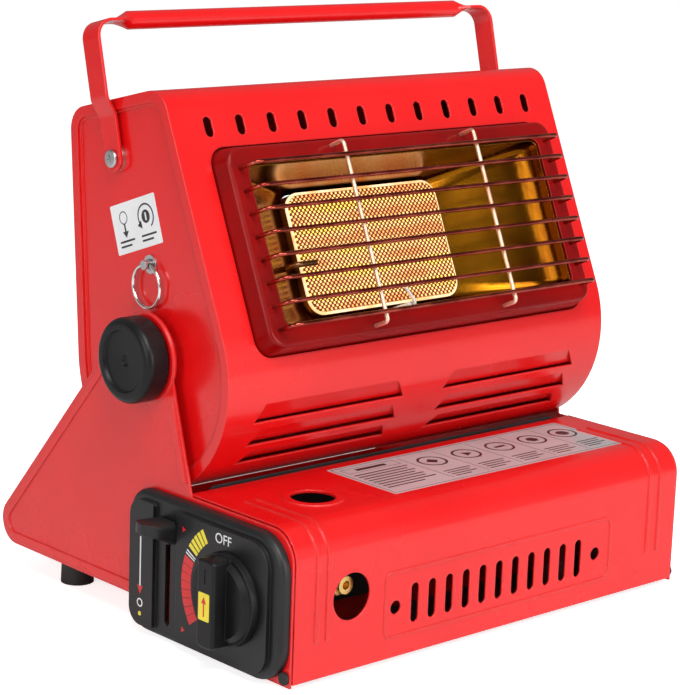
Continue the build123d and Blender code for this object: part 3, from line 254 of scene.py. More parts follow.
def grainyMaterial(name, look):
    # painted, moulded or bare metal: grain, patches, worn edges and dust over one base colour
    material, tree, shader = startMaterial(name)
    wear = useGroup(tree, edgeWear, Radius=look["edgeRadius"], Amount=look["wear"])
    grain = useGrain(tree, look["fineScale"], look["patchScale"])
    dust = useGroup(tree, settledDust, Amount=look["dust"])
    colour = ramp(
        tree, grain.outputs["Patches"], [(0.32, look["colourLow"]), (0.68, look["colourHigh"])], "EASE"
    )
    worn = mixColour(tree, wear.outputs["Mask"], colour, look["wornColour"])
    dusty = mixColour(tree, dust.outputs["Mask"], worn, dustColour)
    tree.links.new(dusty, shader.inputs["Base Color"])
    rough = addNode(
        tree,
        "ShaderNodeMapRange",
        {
            "Value": grain.outputs["Patches"],
            "From Min": 0.3,
            "From Max": 0.7,
            "To Min": look["roughLow"],
            "To Max": look["roughHigh"],
        },
    )
    dustRough = maths(tree, "ADD", rough.outputs["Result"], maths(tree, "MULTIPLY", dust.outputs["Mask"], 0.5))
    tree.links.new(dustRough, shader.inputs["Roughness"])
    bump = addNode(
        tree,
        "ShaderNodeBump",
        {
            "Height": grain.outputs["Height"],
            "Normal": wear.outputs["Normal"],
            "Strength": look["bump"],
            "Distance": look.get("bumpDepth", 0.0002),
        },
    )
    tree.links.new(bump.outputs["Normal"], shader.inputs["Normal"])
    shader.inputs["Metallic"].default_value = look["metallic"]
    shader.inputs["Coat Weight"].default_value = look.get("coat", 0.0)
    shader.inputs["Coat Roughness"].default_value = look.get("coatRough", 0.05)
    shader.inputs["Specular IOR Level"].default_value = look.get("specular", 0.5)
    return material


looks = {
    "red_enamel": {
        "colourLow": (0.66, 0.003, 0.004), "colourHigh": (0.74, 0.005, 0.006),
        "wornColour": (0.90, 0.14, 0.12),
        "edgeRadius": 0.0011, "wear": 0.2, "fineScale": 420.0, "patchScale": 9.0, "dust": 0.01,
        "roughLow": 0.24, "roughHigh": 0.30, "bump": 0.03,
        "metallic": 0.0, "coat": 0.25, "coatRough": 0.05,
    },
    "dark_enamel": {
        "colourLow": (0.18, 0.001, 0.001), "colourHigh": (0.25, 0.001, 0.001),
        "wornColour": (0.7, 0.10, 0.08),
        "edgeRadius": 0.0008, "wear": 0.5, "specular": 0.16,
        "fineScale": 500.0, "patchScale": 18.0, "dust": 0.02,
        "roughLow": 0.18, "roughHigh": 0.28, "bump": 0.04,
        "metallic": 0.0, "coat": 0.04, "coatRough": 0.08,
    },
    "black_enamel": {
        "colourLow": (0.012, 0.012, 0.013), "colourHigh": (0.022, 0.021, 0.022),
        "wornColour": (0.12, 0.12, 0.12),
        "edgeRadius": 0.0005, "wear": 0.4, "fineScale": 700.0, "patchScale": 16.0, "dust": 0.05,
        "roughLow": 0.5, "roughHigh": 0.65, "bump": 0.08, "metallic": 0.0, "specular": 0.2,
    },
    "black_plastic": {
        "colourLow": (0.006, 0.006, 0.007), "colourHigh": (0.010, 0.010, 0.011),
        "wornColour": (0.08, 0.08, 0.08),
        "edgeRadius": 0.0006, "wear": 0.2, "specular": 0.38,
        "fineScale": 2200.0, "patchScale": 20.0, "dust": 0.03,
        "roughLow": 0.33, "roughHigh": 0.43, "bump": 0.10, "metallic": 0.0, "bumpDepth": 0.0001,
    },
    "knobPlastic": {
        "colourLow": (0.003, 0.003, 0.0035), "colourHigh": (0.006, 0.006, 0.007),
        "wornColour": (0.06, 0.06, 0.06),
        "edgeRadius": 0.0005, "wear": 0.2, "specular": 0.24,
        "fineScale": 2000.0, "patchScale": 30.0, "dust": 0.02,
        "roughLow": 0.30, "roughHigh": 0.40, "bump": 0.10, "metallic": 0.0, "bumpDepth": 0.0001,
    },
    "zinc_steel": {
        "colourLow": (0.50, 0.50, 0.51), "colourHigh": (0.66, 0.66, 0.65),
        "wornColour": (0.85, 0.85, 0.85),
        "edgeRadius": 0.0003, "wear": 0.3, "fineScale": 900.0, "patchScale": 60.0, "dust": 0.05,
        "roughLow": 0.25, "roughHigh": 0.42, "bump": 0.06, "metallic": 1.0,
    },
    # dark amber reflector: partly its own brass tone, partly painted warm reflection of the glow and painted
    # shade in the cavity
    "polished_steel": {
        "colourLow": (0.16, 0.045, 0.003), "colourHigh": (0.34, 0.135, 0.005),
        "wornColour": (0.8, 0.4, 0.1),
        "edgeRadius": 0.0004, "wear": 0.3, "fineScale": 120.0, "patchScale": 14.0, "dust": 0.0,
        "roughLow": 0.13, "roughHigh": 0.22, "bump": 0.012, "metallic": 1.0,
    },
    "chrome_wire": {
        "colourLow": (0.70, 0.68, 0.66), "colourHigh": (0.82, 0.81, 0.80),
        "wornColour": (0.9, 0.9, 0.9),
        "edgeRadius": 0.0002, "wear": 0.1, "fineScale": 1200.0, "patchScale": 120.0, "dust": 0.0,
        "roughLow": 0.08, "roughHigh": 0.16, "bump": 0.03, "metallic": 1.0,
    },
    "scorchedSteel": {
        "colourLow": (0.16, 0.07, 0.03), "colourHigh": (0.38, 0.20, 0.10),
        "wornColour": (0.7, 0.5, 0.3),
        "edgeRadius": 0.0004, "wear": 0.3, "fineScale": 700.0, "patchScale": 50.0, "dust": 0.0,
        "roughLow": 0.28, "roughHigh": 0.5, "bump": 0.08, "metallic": 1.0,
    },
    # painted reflection: red-brown tint for the guard wires, standing in for the red shell and the glow they
    # mirror
    "guardWirePaintedReflection": {
        "colourLow": (0.24, 0.030, 0.020), "colourHigh": (0.46, 0.085, 0.055),
        "wornColour": (0.8, 0.5, 0.4),
        "edgeRadius": 0.0002, "wear": 0.1, "fineScale": 1200.0, "patchScale": 70.0, "dust": 0.0,
        "roughLow": 0.14, "roughHigh": 0.30, "bump": 0.04, "metallic": 1.0,
    },
    # painted light: peach-beige tint for the guard stays, standing in for the warm glow falling on them
    "stayWirePaintedGlow": {
        "colourLow": (0.80, 0.48, 0.34), "colourHigh": (0.92, 0.70, 0.54),
        "wornColour": (0.95, 0.9, 0.85),
        "edgeRadius": 0.0002, "wear": 0.1, "fineScale": 1200.0, "patchScale": 70.0, "dust": 0.0,
        "roughLow": 0.34, "roughHigh": 0.48, "bump": 0.03, "metallic": 0.9,
    },
    "aluminium_cast": {
        "colourLow": (0.48, 0.48, 0.49), "colourHigh": (0.60, 0.60, 0.60),
        "wornColour": (0.75, 0.75, 0.75),
        "edgeRadius": 0.0004, "wear": 0.3, "fineScale": 800.0, "patchScale": 40.0, "dust": 0.05,
        "roughLow": 0.42, "roughHigh": 0.58, "bump": 0.15, "metallic": 1.0,
    },
    "brass_turned": {
        "colourLow": (0.72, 0.48, 0.14), "colourHigh": (0.86, 0.62, 0.24),
        "wornColour": (0.95, 0.8, 0.45),
        "edgeRadius": 0.0003, "wear": 0.3, "fineScale": 1500.0, "patchScale": 80.0, "dust": 0.02,
        "roughLow": 0.18, "roughHigh": 0.32, "bump": 0.05, "metallic": 1.0,
    },
    "rubber_black": {
        "colourLow": (0.012, 0.012, 0.012), "colourHigh": (0.024, 0.023, 0.023),
        "wornColour": (0.07, 0.07, 0.07),
        "edgeRadius": 0.0006, "wear": 0.3, "fineScale": 1400.0, "patchScale": 30.0, "dust": 0.15,
        "roughLow": 0.6, "roughHigh": 0.78, "bump": 0.2, "metallic": 0.0,
    },
    "white_ceramic": {
        "colourLow": (0.74, 0.72, 0.66), "colourHigh": (0.84, 0.82, 0.78),
        "wornColour": (0.9, 0.9, 0.88),
        "edgeRadius": 0.0003, "wear": 0.1, "fineScale": 600.0, "patchScale": 90.0, "dust": 0.0,
        "roughLow": 0.25, "roughHigh": 0.4, "bump": 0.05, "metallic": 0.0,
    },
}

glow = {
    "holePitch": 0.00148,      # between rows of holes in the plaque
    "holeShare": -0.18,        # lower values make wider holes
    "holeEdge": 0.08,
    "bandPitch": 0.0118,       # between the brighter bands
    "bandShare": 0.32,
    "fineScale": 500.0,
    "patchScale": 38.0,
    "strength": 1.75,
    "hot": (1.0, 0.80, 0.08),
    "warm": (1.0, 0.64, 0.20),
    "cool": (0.90, 0.34, 0.08),
    "hole": (0.11, 0.006, 0.002),
    "surfaceBase": (0.30, 0.15, 0.06),
    "holeBase": (0.05, 0.02, 0.01),
    # painted highlight on the plaque frame: the colours and strength of its glow
    "rim": (1.0, 0.78, 0.48),
    "rimDull": (0.9, 0.42, 0.12),
    "rimStrength": 1.1,
}


def glowingPlaque():
    # staggered holes across the plaque, brighter in soft bands
    material, tree, shader = startMaterial("ceramic")
    place = addNode(tree, "ShaderNodeTexCoord")
    centre = facePoint(heater["windowSide"], heater["windowRise"])
    flat = addNode(
        tree,
        "ShaderNodeMapping",
        {"Vector": place.outputs["Object"], "Location": centre, "Rotation": (-faceLean, 0, 0)},
        vector_type="TEXTURE",
    )
    axes = addNode(tree, "ShaderNodeSeparateXYZ", {0: flat.outputs[0]})
    turn = math.pi / glow["holePitch"]
    across = maths(tree, "SINE", maths(tree, "MULTIPLY", axes.outputs["X"], turn))
    upward = maths(tree, "SINE", maths(tree, "MULTIPLY", axes.outputs["Z"], turn))
    cells = maths(tree, "MULTIPLY", across, upward)
    share, edge = glow["holeShare"], glow["holeEdge"]
    holes = addNode(
        tree, "ShaderNodeMapRange", {"Value": cells, "From Min": share - edge, "From Max": share + edge}
    ).outputs["Result"]
    bandTurn = maths(tree, "MULTIPLY", axes.outputs["Z"], 2 * math.pi / glow["bandPitch"])
    bands = maths(tree, "MULTIPLY", maths(tree, "COSINE", bandTurn), glow["bandShare"])
    grain = useGrain(tree, glow["fineScale"], glow["patchScale"])
    uneven = maths(tree, "MULTIPLY", maths(tree, "SUBTRACT", grain.outputs["Patches"], 0.5), 2.0)
    heat = maths(tree, "ADD", bands, maths(tree, "ADD", uneven, 0.50))
    surface = ramp(tree, heat, [(0.0, glow["cool"]), (0.45, glow["warm"]), (1.0, glow["hot"])], "EASE")
    shown = mixColour(tree, holes, surface, glow["hole"])
    tree.links.new(shown, shader.inputs["Emission Color"])
    shader.inputs["Emission Strength"].default_value = glow["strength"]
    base = mixColour(tree, holes, glow["surfaceBase"], glow["holeBase"])
    tree.links.new(base, shader.inputs["Base Color"])
    shader.inputs["Roughness"].default_value = 0.85
    bump = addNode(
        tree, "ShaderNodeBump", {"Height": holes, "Strength": 0.8, "Distance": 0.0004}, invert=True
    )
    tree.links.new(bump.outputs["Normal"], shader.inputs["Normal"])
    return material


inks = {
    "printYellow": (0.80, 0.66, 0.03),
    "printRed": (0.62, 0.012, 0.014),
    "printWhite": (0.80, 0.80, 0.80),
    "printBlack": (0.02, 0.02, 0.022),
    "foil": (0.62, 0.61, 0.62),
    "paper": (0.78, 0.78, 0.79),
}
for name, colour in inks.items():
    looks[name] = {
        "colourLow": tuple(0.94 * v for v in colour), "colourHigh": colour,
        "wornColour": tuple(0.8 * v for v in colour),
        "edgeRadius": 0.0001, "wear": 0.1, "fineScale": 1600.0, "patchScale": 45.0, "dust": 0.02,
        "roughLow": 0.26, "roughHigh": 0.38, "bump": 0.03, "metallic": 0.35 if name == "foil" else 0.0,
    }


def paintedGlowFrame():
    # painted highlight: the metal edge round the plaque emits a pale glow though it is no lamp, brighter in
    # patches
    material, tree, shader = startMaterial("paintedGlowFrameMaterial")
    grain = useGrain(tree, 900.0, 60.0)
    warm = ramp(tree, grain.outputs["Patches"], [(0.3, glow["rimDull"]), (0.6, glow["rim"])], "EASE")
    tree.links.new(warm, shader.inputs["Emission Color"])
    shader.inputs["Emission Strength"].default_value = glow["rimStrength"]
    tree.links.new(warm, shader.inputs["Base Color"])
    shader.inputs["Metallic"].default_value = 1.0
    shader.inputs["Roughness"].default_value = 0.4
    bump = addNode(
        tree, "ShaderNodeBump", {"Height": grain.outputs["Height"], "Strength": 0.1, "Distance": 0.0002}
    )
    tree.links.new(bump.outputs["Normal"], shader.inputs["Normal"])
    return material


materials = {name: grainyMaterial(name, look) for name, look in looks.items()}
materials["ceramic"] = glowingPlaque()
materials["paintedGlowFrameMaterial"] = paintedGlowFrame()
print("materials made:", len(materials))

slotOf = {part["node"]: part["material_slot"] for part in frame["record"]["subparts"]}
slotOf["guard"] = "guardWirePaintedReflection"  # tinted dark red-brown, unlike the ring: painted reflection of the red shell and of the glow
slotOf["guard_stays"] = "stayWirePaintedGlow"
slotOf["gas_knob"] = slotOf["tilt_knob_left"] = slotOf["tilt_knob_right"] = "knobPlastic"
slotOf["plaque_frame"] = "paintedGlowFrameMaterial"
slotOf["burner_body"] = slotOf["thermocouple"] = "scorchedSteel"
for name, node in nodes.items():
    node.data.materials.clear()
    node.data.materials.append(materials[slotOf[name]])
print("materials placed on the frame")

# the hose and the spring change shape as their joint moves; here each is built in one fixed shape


def addTube(name, points, look):
    # round bar along a smooth line, capped at both ends
    curve = bpy.data.curves.new(name, "CURVE")
    curve.dimensions = "3D"
    spline = curve.splines.new("NURBS")
    spline.points.add(len(points) - 1)
    for point, place in zip(spline.points, points):
        point.co = (*place, 1.0)
    spline.order_u = 3
    spline.use_endpoint_u = True
    spline.resolution_u = look["steps"]
    curve.bevel_depth = look["thickness"]
    curve.bevel_resolution = look["rounding"]
    curve.use_fill_caps = True
    line = bpy.data.objects.new(name, curve)
    bpy.context.scene.collection.objects.link(line)
    bpy.context.view_layer.update()
    data = bpy.data.meshes.new_from_object(line.evaluated_get(bpy.context.evaluated_depsgraph_get()))
    bpy.data.objects.remove(line)
    data.name = name
    data.polygons.foreach_set("use_smooth", [True] * len(data.polygons))
    data.materials.clear()
    data.materials.append(materials[slotOf[look["node"]]])
    tube = bpy.data.objects.new(name, data)
    bpy.context.scene.collection.objects.link(tube)
    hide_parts(look["node"])
    return tube


hose = {
    "node": "gas_hose",
    "side": -0.0983,
    "route": [  # depth and height, from the regulator to the back of the head
        (-0.0540, 0.0360),
        (-0.0040, 0.0360),
        (0.0420, 0.0420),
        (0.0701, 0.0700),
        (0.0721, 0.1016),
        (0.0567, 0.1088),
    ],
    "thickness": 0.0040,    # half of the hose's diameter
    "steps": 14,
    "rounding": 7,
    "still": (-0.030, 0.036),  # before this the hose keeps to the stand
    "turned": (0.058, 0.104),  # after it, to the head
}


def makeHose(look):
    side = look["side"]
    tube = addTube("hose", [(side, y, z) for y, z in look["route"]], look)
    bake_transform(tube)


coil = {
    "node": "pin_spring",
    "first": -0.12135,      # turn nearest the pin's collar
    "last": -0.12625,       # turn against the housing's outer wall
    "centre": (0.000768, 0.187867),
    "radius": 0.0041,
    "thickness": 0.0004,    # half of the wire's diameter
    "turns": 4,
    "pointsPerTurn": 24,
    "steps": 2,
    "rounding": 3,
    "pressed": 0.68,        # share of the length left with the pin pulled out
}


def makeCoil(look):
    parts = look["pointsPerTurn"] * look["turns"]
    points = []
    for i in range(parts + 1):
        turn = 2 * math.pi * look["turns"] * i / parts
        x = look["first"] + (look["last"] - look["first"]) * i / parts
        y = look["centre"][0] + look["radius"] * math.cos(turn)
        z = look["centre"][1] + look["radius"] * math.sin(turn)
        points.append((x, y, z))
    tube = addTube("coil", points, look)
    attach(tube, "head")
    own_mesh(tube)


makeHose(hose)
makeCoil(coil)
print("hose and spring made")

# printed marks and stickers, thin closed plates on the surface they lie on

layers = {  # heights over that surface
    "plate": (-0.0001, 0.00007),
    "print": (0.00004, 0.00011),
    "inset": (0.00008, 0.00014),
}


def addPlate(mesh, surface, outline, low, high, slot=0):
    origin, right, up, out = surface
    edge = [mesh.verts.new(origin + right * a + up * b + out * low) for a, b in outline]
    base = mesh.faces.new(edge)
    grown = bmesh.ops.extrude_face_region(mesh, geom=[base], use_keep_orig=True)
    raised = [item for item in grown["geom"] if isinstance(item, bmesh.types.BMVert)]
    bmesh.ops.translate(mesh, vec=out * (high - low), verts=raised)
    touched = {face for vert in edge + raised for face in vert.link_faces}
    for face in touched:
        face.material_index = slot


def addPrint(mesh, surface, outline, slot=1):
    addPlate(mesh, surface, outline, *layers["print"], slot)


def addPiece(name, mesh, slots, body):
    bmesh.ops.recalc_face_normals(mesh, faces=mesh.faces)
    data = bpy.data.meshes.new(name)
    mesh.to_mesh(data)
    mesh.free()
    for slot in slots:
        data.materials.append(materials[slot])
    piece = bpy.data.objects.new(name, data)
    bpy.context.scene.collection.objects.link(piece)
    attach(piece, body)
    return piece


def boxOutline(left, low, right, high):
    return [(left, low), (right, low), (right, high), (left, high)]


def roundOutline(a, b, radius, corners=24):
    return [
        (a + radius * math.cos(2 * math.pi * i / corners), b + radius * math.sin(2 * math.pi * i / corners))
        for i in range(corners)
    ]


def arcOutline(a, b, inner, outer, first, last, steps=6):
    # angles clockwise from straight up, in degrees
    turns = [math.radians(first + (last - first) * i / steps) for i in range(steps + 1)]
    far = [(a + outer * math.sin(t), b + outer * math.cos(t)) for t in turns]
    near = [(a + inner * math.sin(t), b + inner * math.cos(t)) for t in reversed(turns)]
    return far + near


capShare = 0.7  # height of a capital letter as a share of the text size


def addWord(mesh, surface, word, a, b, height, low, high, slot=0):
    # plain lettering, turned into a mesh in the surface's plane
    origin, right, up, out = surface
    curve = bpy.data.curves.new(word, "FONT")
    curve.body = word
    curve.size = height / capShare
    curve.align_x = "CENTER"
    curve.extrude = (high - low) / 2
    letters = bpy.data.objects.new(word, curve)
    bpy.context.scene.collection.objects.link(letters)
    bpy.context.view_layer.update()
    data = bpy.data.meshes.new_from_object(letters.evaluated_get(bpy.context.evaluated_depsgraph_get()))
    turn = Matrix((right, up, out)).transposed().to_4x4()
    data.transform(Matrix.Translation(origin + right * a + up * b + out * (low + high) / 2) @ turn)
    known = len(mesh.faces)
    mesh.from_mesh(data)
    mesh.faces.ensure_lookup_table()
    bmesh.ops.remove_doubles(mesh, verts=mesh.verts, dist=1e-7)
    mesh.faces.ensure_lookup_table()
    for face in mesh.faces[known:]:
        face.material_index = slot
    bpy.data.objects.remove(letters)
    bpy.data.meshes.remove(data)


def leftPlane(x, y, z):
    # looks out to the left; across runs towards the front
    return casePoint(x, y, z), Vector((0, -1, 0)), Vector((0, 0, 1)), Vector((-1, 0, 0))


dial = {
    "face": -0.1478, "centre": (0.0385, 0.0365), "inner": 0.0288, "outer": 0.0362,
    "yellow": (-34.0, -60.0), "yellowBars": 5, "yellowShare": 0.74,
    "red": (-67.5, -127.0), "redBars": 8, "redShare": 0.94,
    "ticks": (-62.0, -64.6), "tickWidth": 1.2,
    "pointers": ((-0.0352, 0.0262), (-0.0345, -0.0255)), "pointerSize": 0.0017,
    "word": (-0.0045, 0.0262, 0.0050),
    "low": -0.00008, "high": 0.00007,
}


def addBars(mesh, surface, look, name, slot):
    first, last = look[name]
    count = look[name + "Bars"]
    step = (last - first) / count
    for i in range(count):
        start = first + i * step
        stop = start + step * look[name + "Share"]
        outline = arcOutline(0, 0, look["inner"], look["outer"], start, stop)
        addPlate(mesh, surface, outline, look["low"], look["high"], slot)


def makeDial():
    mesh = bmesh.new()
    surface = leftPlane(dial["face"], *dial["centre"])
    low, high = dial["low"], dial["high"]
    addBars(mesh, surface, dial, "yellow", 0)
    addBars(mesh, surface, dial, "red", 1)
    for angle in dial["ticks"]:
        tick = arcOutline(0, 0, dial["inner"], dial["outer"], angle, angle - dial["tickWidth"])
        addPlate(mesh, surface, tick, low, high, 2)
    for a, b in dial["pointers"]:
        addPlate(mesh, surface, roundOutline(a, b, dial["pointerSize"], 3), low, high, 1)
    addWord(mesh, surface, "OFF", *dial["word"], low, high, 2)
    return addPiece("dialMarks", mesh, ["printYellow", "printRed", "printWhite"], "stand")


leverStrip = {
    "face": -0.1478, "middle": (0.1080, 0.0365), "low": -0.00008, "high": 0.00007,
    "stem": (-0.0005, -0.0120, 0.0005, 0.0140),
    "tip": ((-0.0022, -0.0120), (0.0, -0.0165), (0.0022, -0.0120)),
    "rings": ((0.0190, -320, -40), (-0.0210, 0, 360)),   # height, first and last angle
    "ring": (0.0016, 0.0023), "ringSteps": 8,
    "dot": (0.0, -0.0268, 0.0012),
}


def makeLeverMarks():
    # a down arrow with an open and a closed ring at its ends
    mesh = bmesh.new()
    surface = leftPlane(leverStrip["face"], *leverStrip["middle"])
    low, high = leverStrip["low"], leverStrip["high"]
    addPlate(mesh, surface, boxOutline(*leverStrip["stem"]), low, high, 0)
    addPlate(mesh, surface, leverStrip["tip"], low, high, 1)
    steps = leverStrip["ringSteps"]
    for height, first, last in leverStrip["rings"]:
        for i in range(steps):
            start = first + (last - first) * i / steps
            outline = arcOutline(0, height, *leverStrip["ring"], start, start + (last - first) / steps, 3)
            addPlate(mesh, surface, outline, low, high, 0)
    addPlate(mesh, surface, roundOutline(*leverStrip["dot"], 12), low, high, 2)
    return addPiece("leverMarks", mesh, ["printWhite", "printRed", "printYellow"], "stand")


knobLabel = {
    "face": -0.1624, "centre": (0.0390, 0.0352), "half": (0.0041, 0.0070), "corner": 0.0008,
    "plate": (-0.0001, 0.00008), "print": (0.00004, 0.00012),
    "stem": (-0.0005, -0.0050, 0.0005, 0.0016),
    "tip": ((-0.0019, 0.0016), (0.0019, 0.0016), (0.0, 0.0052)),
}


def roundedBox(halfWidth, halfHeight, radius, steps=5):
    outline = []
    for quarter, (a, b) in enumerate(((1, 1), (-1, 1), (-1, -1), (1, -1))):
        for i in range(steps + 1):
            turn = math.pi / 2 * (quarter + i / steps)
            outline.append((
                a * (halfWidth - radius) + radius * math.cos(turn),
                b * (halfHeight - radius) + radius * math.sin(turn),
            ))
    return outline


def makeKnobLabel():
    # a plate with a plain pointer
    mesh = bmesh.new()
    surface = leftPlane(knobLabel["face"], *knobLabel["centre"])
    plate = roundedBox(*knobLabel["half"], knobLabel["corner"])
    addPlate(mesh, surface, plate, *knobLabel["plate"], 0)
    addPlate(mesh, surface, boxOutline(*knobLabel["stem"]), *knobLabel["print"], 1)
    addPlate(mesh, surface, knobLabel["tip"], *knobLabel["print"], 1)
    return addPiece("knobLabel", mesh, ["printYellow", "printRed"], "gas_control")


lidLabel = {
    "top": 0.0776, "across": (-0.055, 0.118), "deep": (0.021, 0.0735),
    "border": 0.0016, "line": 0.00035, "corner": 0.0015,
    "panels": (-0.0090, 0.0165, 0.0420, 0.0675, 0.0930), "dividerInset": 0.0045,
    "signDrop": 0.0185, "signRadius": 0.0085,
    "rowsLeft": 0.0035, "rowsRight": 0.0030, "rowsRise": 0.0165,
    "rowPitch": 0.0031, "rowThick": 0.0011, "rowShares": (1.0, 0.85, 0.95, 0.6),
    "headLeft": 0.0050, "headRight": 0.0040, "headLow": 0.0125, "headHigh": 0.0050,
    "barInset": 0.0080, "barDrop": 0.0072, "barThick": 0.0030,
    "wideDrop": 0.0160, "widePitch": 0.0036, "wideThick": 0.0013,
    "wideShares": (1.0, 0.92, 0.97, 0.88, 0.95, 0.9, 1.0, 0.7),
}


def addFrame(mesh, surface, left, low, right, high, line):
    for outline in (
        boxOutline(left, low, right, low + line),
        boxOutline(left, high - line, right, high),
        boxOutline(left, low + line, left + line, high - line),
        boxOutline(right - line, low + line, right, high - line),
    ):
        addPrint(mesh, surface, outline)


def addLines(mesh, surface, left, right, top, pitch, shares, thick):
    # rows of plain bars that stand for small print
    for i, share in enumerate(shares):
        b = top - i * pitch
        addPrint(mesh, surface, boxOutline(left, b - thick, left + (right - left) * share, b))


ringShape = {"parts": 12, "inner": 0.84}


def addRing(mesh, surface, a, b, radius):
    step = 360 / ringShape["parts"]
    for i in range(ringShape["parts"]):
        outline = arcOutline(a, b, ringShape["inner"] * radius, radius, step * i, step * i + step, 2)
        addPrint(mesh, surface, outline)


def addSign(mesh, surface, a, b, radius, kind):
    # a plain ring with a simple shape inside
    addRing(mesh, surface, a, b, radius)
    inner = 0.46 * radius
    shapes = (
        roundOutline(a, b, inner, 20),
        roundOutline(a, b, inner, 4),
        roundOutline(a, b, inner, 3),
        boxOutline(a - inner, b - 0.3 * inner, a + inner, b + 0.3 * inner),
        roundOutline(a, b, inner, 6),
    )
    addPrint(mesh, surface, shapes[kind % len(shapes)])


def makeLidLabel():
    mesh = bmesh.new()
    look = lidLabel
    surface = casePoint(0, 0, look["top"]), Vector((1, 0, 0)), Vector((0, 1, 0)), Vector((0, 0, 1))
    (left, right), (near, far) = look["across"], look["deep"]
    middle = surface[0] + surface[1] * (left + right) / 2 + surface[2] * (near + far) / 2
    plate = roundedBox((right - left) / 2, (far - near) / 2, look["corner"])
    addPlate(mesh, (middle, *surface[1:]), plate, *layers["plate"], 0)
    inset, line = look["border"], look["line"]
    addFrame(mesh, surface, left + inset, near + inset, right - inset, far - inset, line)
    edges = (*look["panels"], right - inset)
    for i, (start, stop) in enumerate(zip(edges, edges[1:])):
        divider = boxOutline(start, near + look["dividerInset"], start + line, far - look["dividerInset"])
        addPrint(mesh, surface, divider)
        addSign(mesh, surface, (start + stop) / 2, far - look["signDrop"], look["signRadius"], i + 1)
        rows = start + look["rowsLeft"], stop - look["rowsRight"], near + look["rowsRise"]
        addLines(mesh, surface, *rows, look["rowPitch"], look["rowShares"], look["rowThick"])
    # wide first panel: a framed heading and rows of small print
    first, last = left + look["headLeft"], look["panels"][0] - look["headRight"]
    addFrame(mesh, surface, first, far - look["headLow"], last, far - look["headHigh"], line)
    bar = first + look["barInset"], last - look["barInset"], far - look["barDrop"]
    addLines(mesh, surface, *bar, look["barThick"], (1.0,), look["barThick"])
    wide = first, last, far - look["wideDrop"]
    addLines(mesh, surface, *wide, look["widePitch"], look["wideShares"], look["wideThick"])
    return addPiece("lidLabel", mesh, ["foil", "printBlack"], "lid")


headLabel = {
    "face": -0.1330, "centre": (0.1352, 0.2040), "half": (0.0190, 0.0127), "corner": 0.0008, "lean": 19.4,
    "ring": (-0.0095, 0.0052, 0.0034),
    "stem": (-0.0101, -0.0020, -0.0089, 0.0020),
    "tip": ((-0.0120, -0.0018), (-0.0095, -0.0050), (-0.0070, -0.0018)),
    "knob": (0.0090, 0.0025), "knobRadius": 0.0034,
    "grip": (0.0084, 0.0005, 0.0096, 0.0045),
    "sweep": (0.0058, 0.0067), "sweepFrom": -120, "sweepStep": 30, "sweepParts": 9,
    "sweepTip": ((0.0012, -0.0010), (0.0048, -0.0030), (0.0046, 0.0012)),
    "rows": (-0.0155, 0.0030), "rowWidth": 0.0125, "rowTop": -0.0062,
    "rowPitch": 0.0024, "rowThick": 0.0010, "rowShares": (1.0, 0.75),
}


def makeHeadLabel():
    # two plain drawings: pull the ring, turn the knob
    mesh = bmesh.new()
    look = headLabel
    lean = math.radians(look["lean"])
    across = Vector((0, -math.cos(lean), math.sin(lean)))
    upward = Vector((0, math.sin(lean), math.cos(lean)))
    surface = casePoint(look["face"], *look["centre"]), across, upward, Vector((-1, 0, 0))
    addPlate(mesh, surface, roundedBox(*look["half"], look["corner"]), *layers["plate"], 0)
    addRing(mesh, surface, *look["ring"])
    addPrint(mesh, surface, boxOutline(*look["stem"]))
    addPrint(mesh, surface, look["tip"])
    for i in range(look["sweepParts"]):
        start = look["sweepFrom"] + look["sweepStep"] * i
        outline = arcOutline(*look["knob"], *look["sweep"], start, start + look["sweepStep"], 3)
        addPrint(mesh, surface, outline)
    addPrint(mesh, surface, look["sweepTip"])
    addPrint(mesh, surface, roundOutline(*look["knob"], look["knobRadius"], 20))
    addPlate(mesh, surface, boxOutline(*look["grip"]), *layers["inset"], 0)
    for left in look["rows"]:
        rows = left, left + look["rowWidth"], look["rowTop"]
        addLines(mesh, surface, *rows, look["rowPitch"], look["rowShares"], look["rowThick"])
    return addPiece("headLabel", mesh, ["paper", "printBlack"], "head")


makeDial()
makeLeverMarks()
makeKnobLabel()
makeLidLabel()
makeHeadLabel()
print("printed marks placed")

# floor, light and camera

ground = {"half": 9.0, "colour": (0.93, 0.93, 0.93), "lift": 0.75}


def makeFloor():
    mesh = bmesh.new()
    bmesh.ops.create_grid(mesh, x_segments=1, y_segments=1, size=ground["half"])
    data = bpy.data.meshes.new("floor")
    mesh.to_mesh(data)
    mesh.free()
    floor = bpy.data.objects.new("floor", data)
    bpy.context.scene.collection.objects.link(floor)
    material, tree, shader = startMaterial("paleFloor")
    shader.inputs["Base Color"].default_value = (*ground["colour"], 1)
    shader.inputs["Roughness"].default_value = 0.6
    shader.inputs["Emission Color"].default_value = (1, 1, 1, 1)
    path = addNode(tree, "ShaderNodeLightPath")
    lift = maths(tree, "MULTIPLY", path.outputs["Is Camera Ray"], ground["lift"])
    tree.links.new(lift, shader.inputs["Emission Strength"])
    data.materials.append(material)
    return floor


lamps = {
    "key": {"place": (-0.7, -1.5, 2.3), "size": 1.5, "power": 62.0},
    "side": {"place": (-2.4, -0.5, 1.0), "size": 1.2, "power": 21.0},
    "front": {"place": (0.7, -2.6, 0.8), "size": 1.2, "power": 29.0},
}
aim = Vector((0, 0, 0.14))


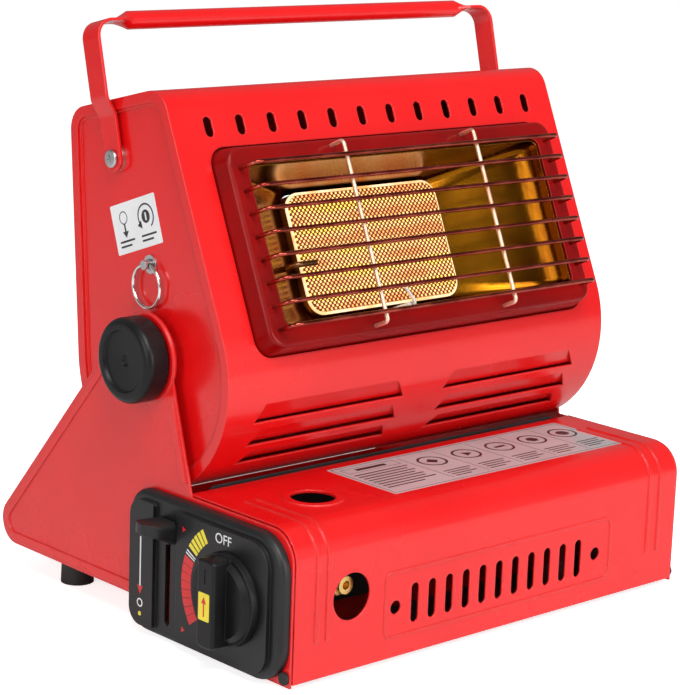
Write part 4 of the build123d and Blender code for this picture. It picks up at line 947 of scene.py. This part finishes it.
def makeLamp(name, look):
    data = bpy.data.lights.new(name, "AREA")
    data.size = look["size"]
    data.energy = look["power"]
    lamp = bpy.data.objects.new(name, data)
    lamp.location = look["place"]
    lamp.rotation_euler = (aim - lamp.location).to_track_quat("-Z", "Y").to_euler()
    bpy.context.scene.collection.objects.link(lamp)


sky = {"around": 0.22, "seen": 1.0}


def makeWorld():
    world = bpy.data.worlds.new("studio")
    world.use_nodes = True
    tree = world.node_tree
    tree.nodes["Background"].inputs["Strength"].default_value = sky["around"]
    backdrop = addNode(tree, "ShaderNodeBackground", {"Strength": sky["seen"]})
    path = addNode(tree, "ShaderNodeLightPath")
    both = addNode(tree, "ShaderNodeMixShader", {0: path.outputs["Is Camera Ray"]})
    tree.links.new(tree.nodes["Background"].outputs[0], both.inputs[1])
    tree.links.new(backdrop.outputs[0], both.inputs[2])
    tree.links.new(both.outputs[0], tree.nodes["World Output"].inputs["Surface"])
    for node in (tree.nodes["Background"], backdrop):
        node.inputs["Color"].default_value = (1, 1, 1, 1)
    bpy.context.scene.world = world
    bpy.context.scene.view_settings.view_transform = "Standard"


lens = {
    "eye": (-0.8298, -0.9033, 0.4041),
    "azimuth": -42.591,
    "elevation": 12.697,
    "roll": 2.052,
    "focal": 120.37,
    "shift": (-0.0016, 0.0040),
}


def makeCamera():
    turn = math.radians(lens["azimuth"])
    tip = math.radians(lens["elevation"])
    ahead = Vector((-math.sin(turn) * math.cos(tip), math.cos(turn) * math.cos(tip), -math.sin(tip)))
    data = bpy.data.cameras.new("camera")
    data.lens = lens["focal"]
    data.sensor_width = 36.0
    data.shift_x, data.shift_y = lens["shift"]
    camera = bpy.data.objects.new("camera", data)
    level = ahead.to_track_quat("-Z", "Y").to_matrix()
    camera.matrix_world = Matrix.Translation(lens["eye"]) @ (
        level @ Matrix.Rotation(math.radians(lens["roll"]), 3, "Z")
    ).to_4x4()
    bpy.context.scene.collection.objects.link(camera)
    bpy.context.scene.camera = camera


makeFloor()
for name, look in lamps.items():
    makeLamp(name, look)
makeWorld()
makeCamera()
print("floor, light and camera placed")
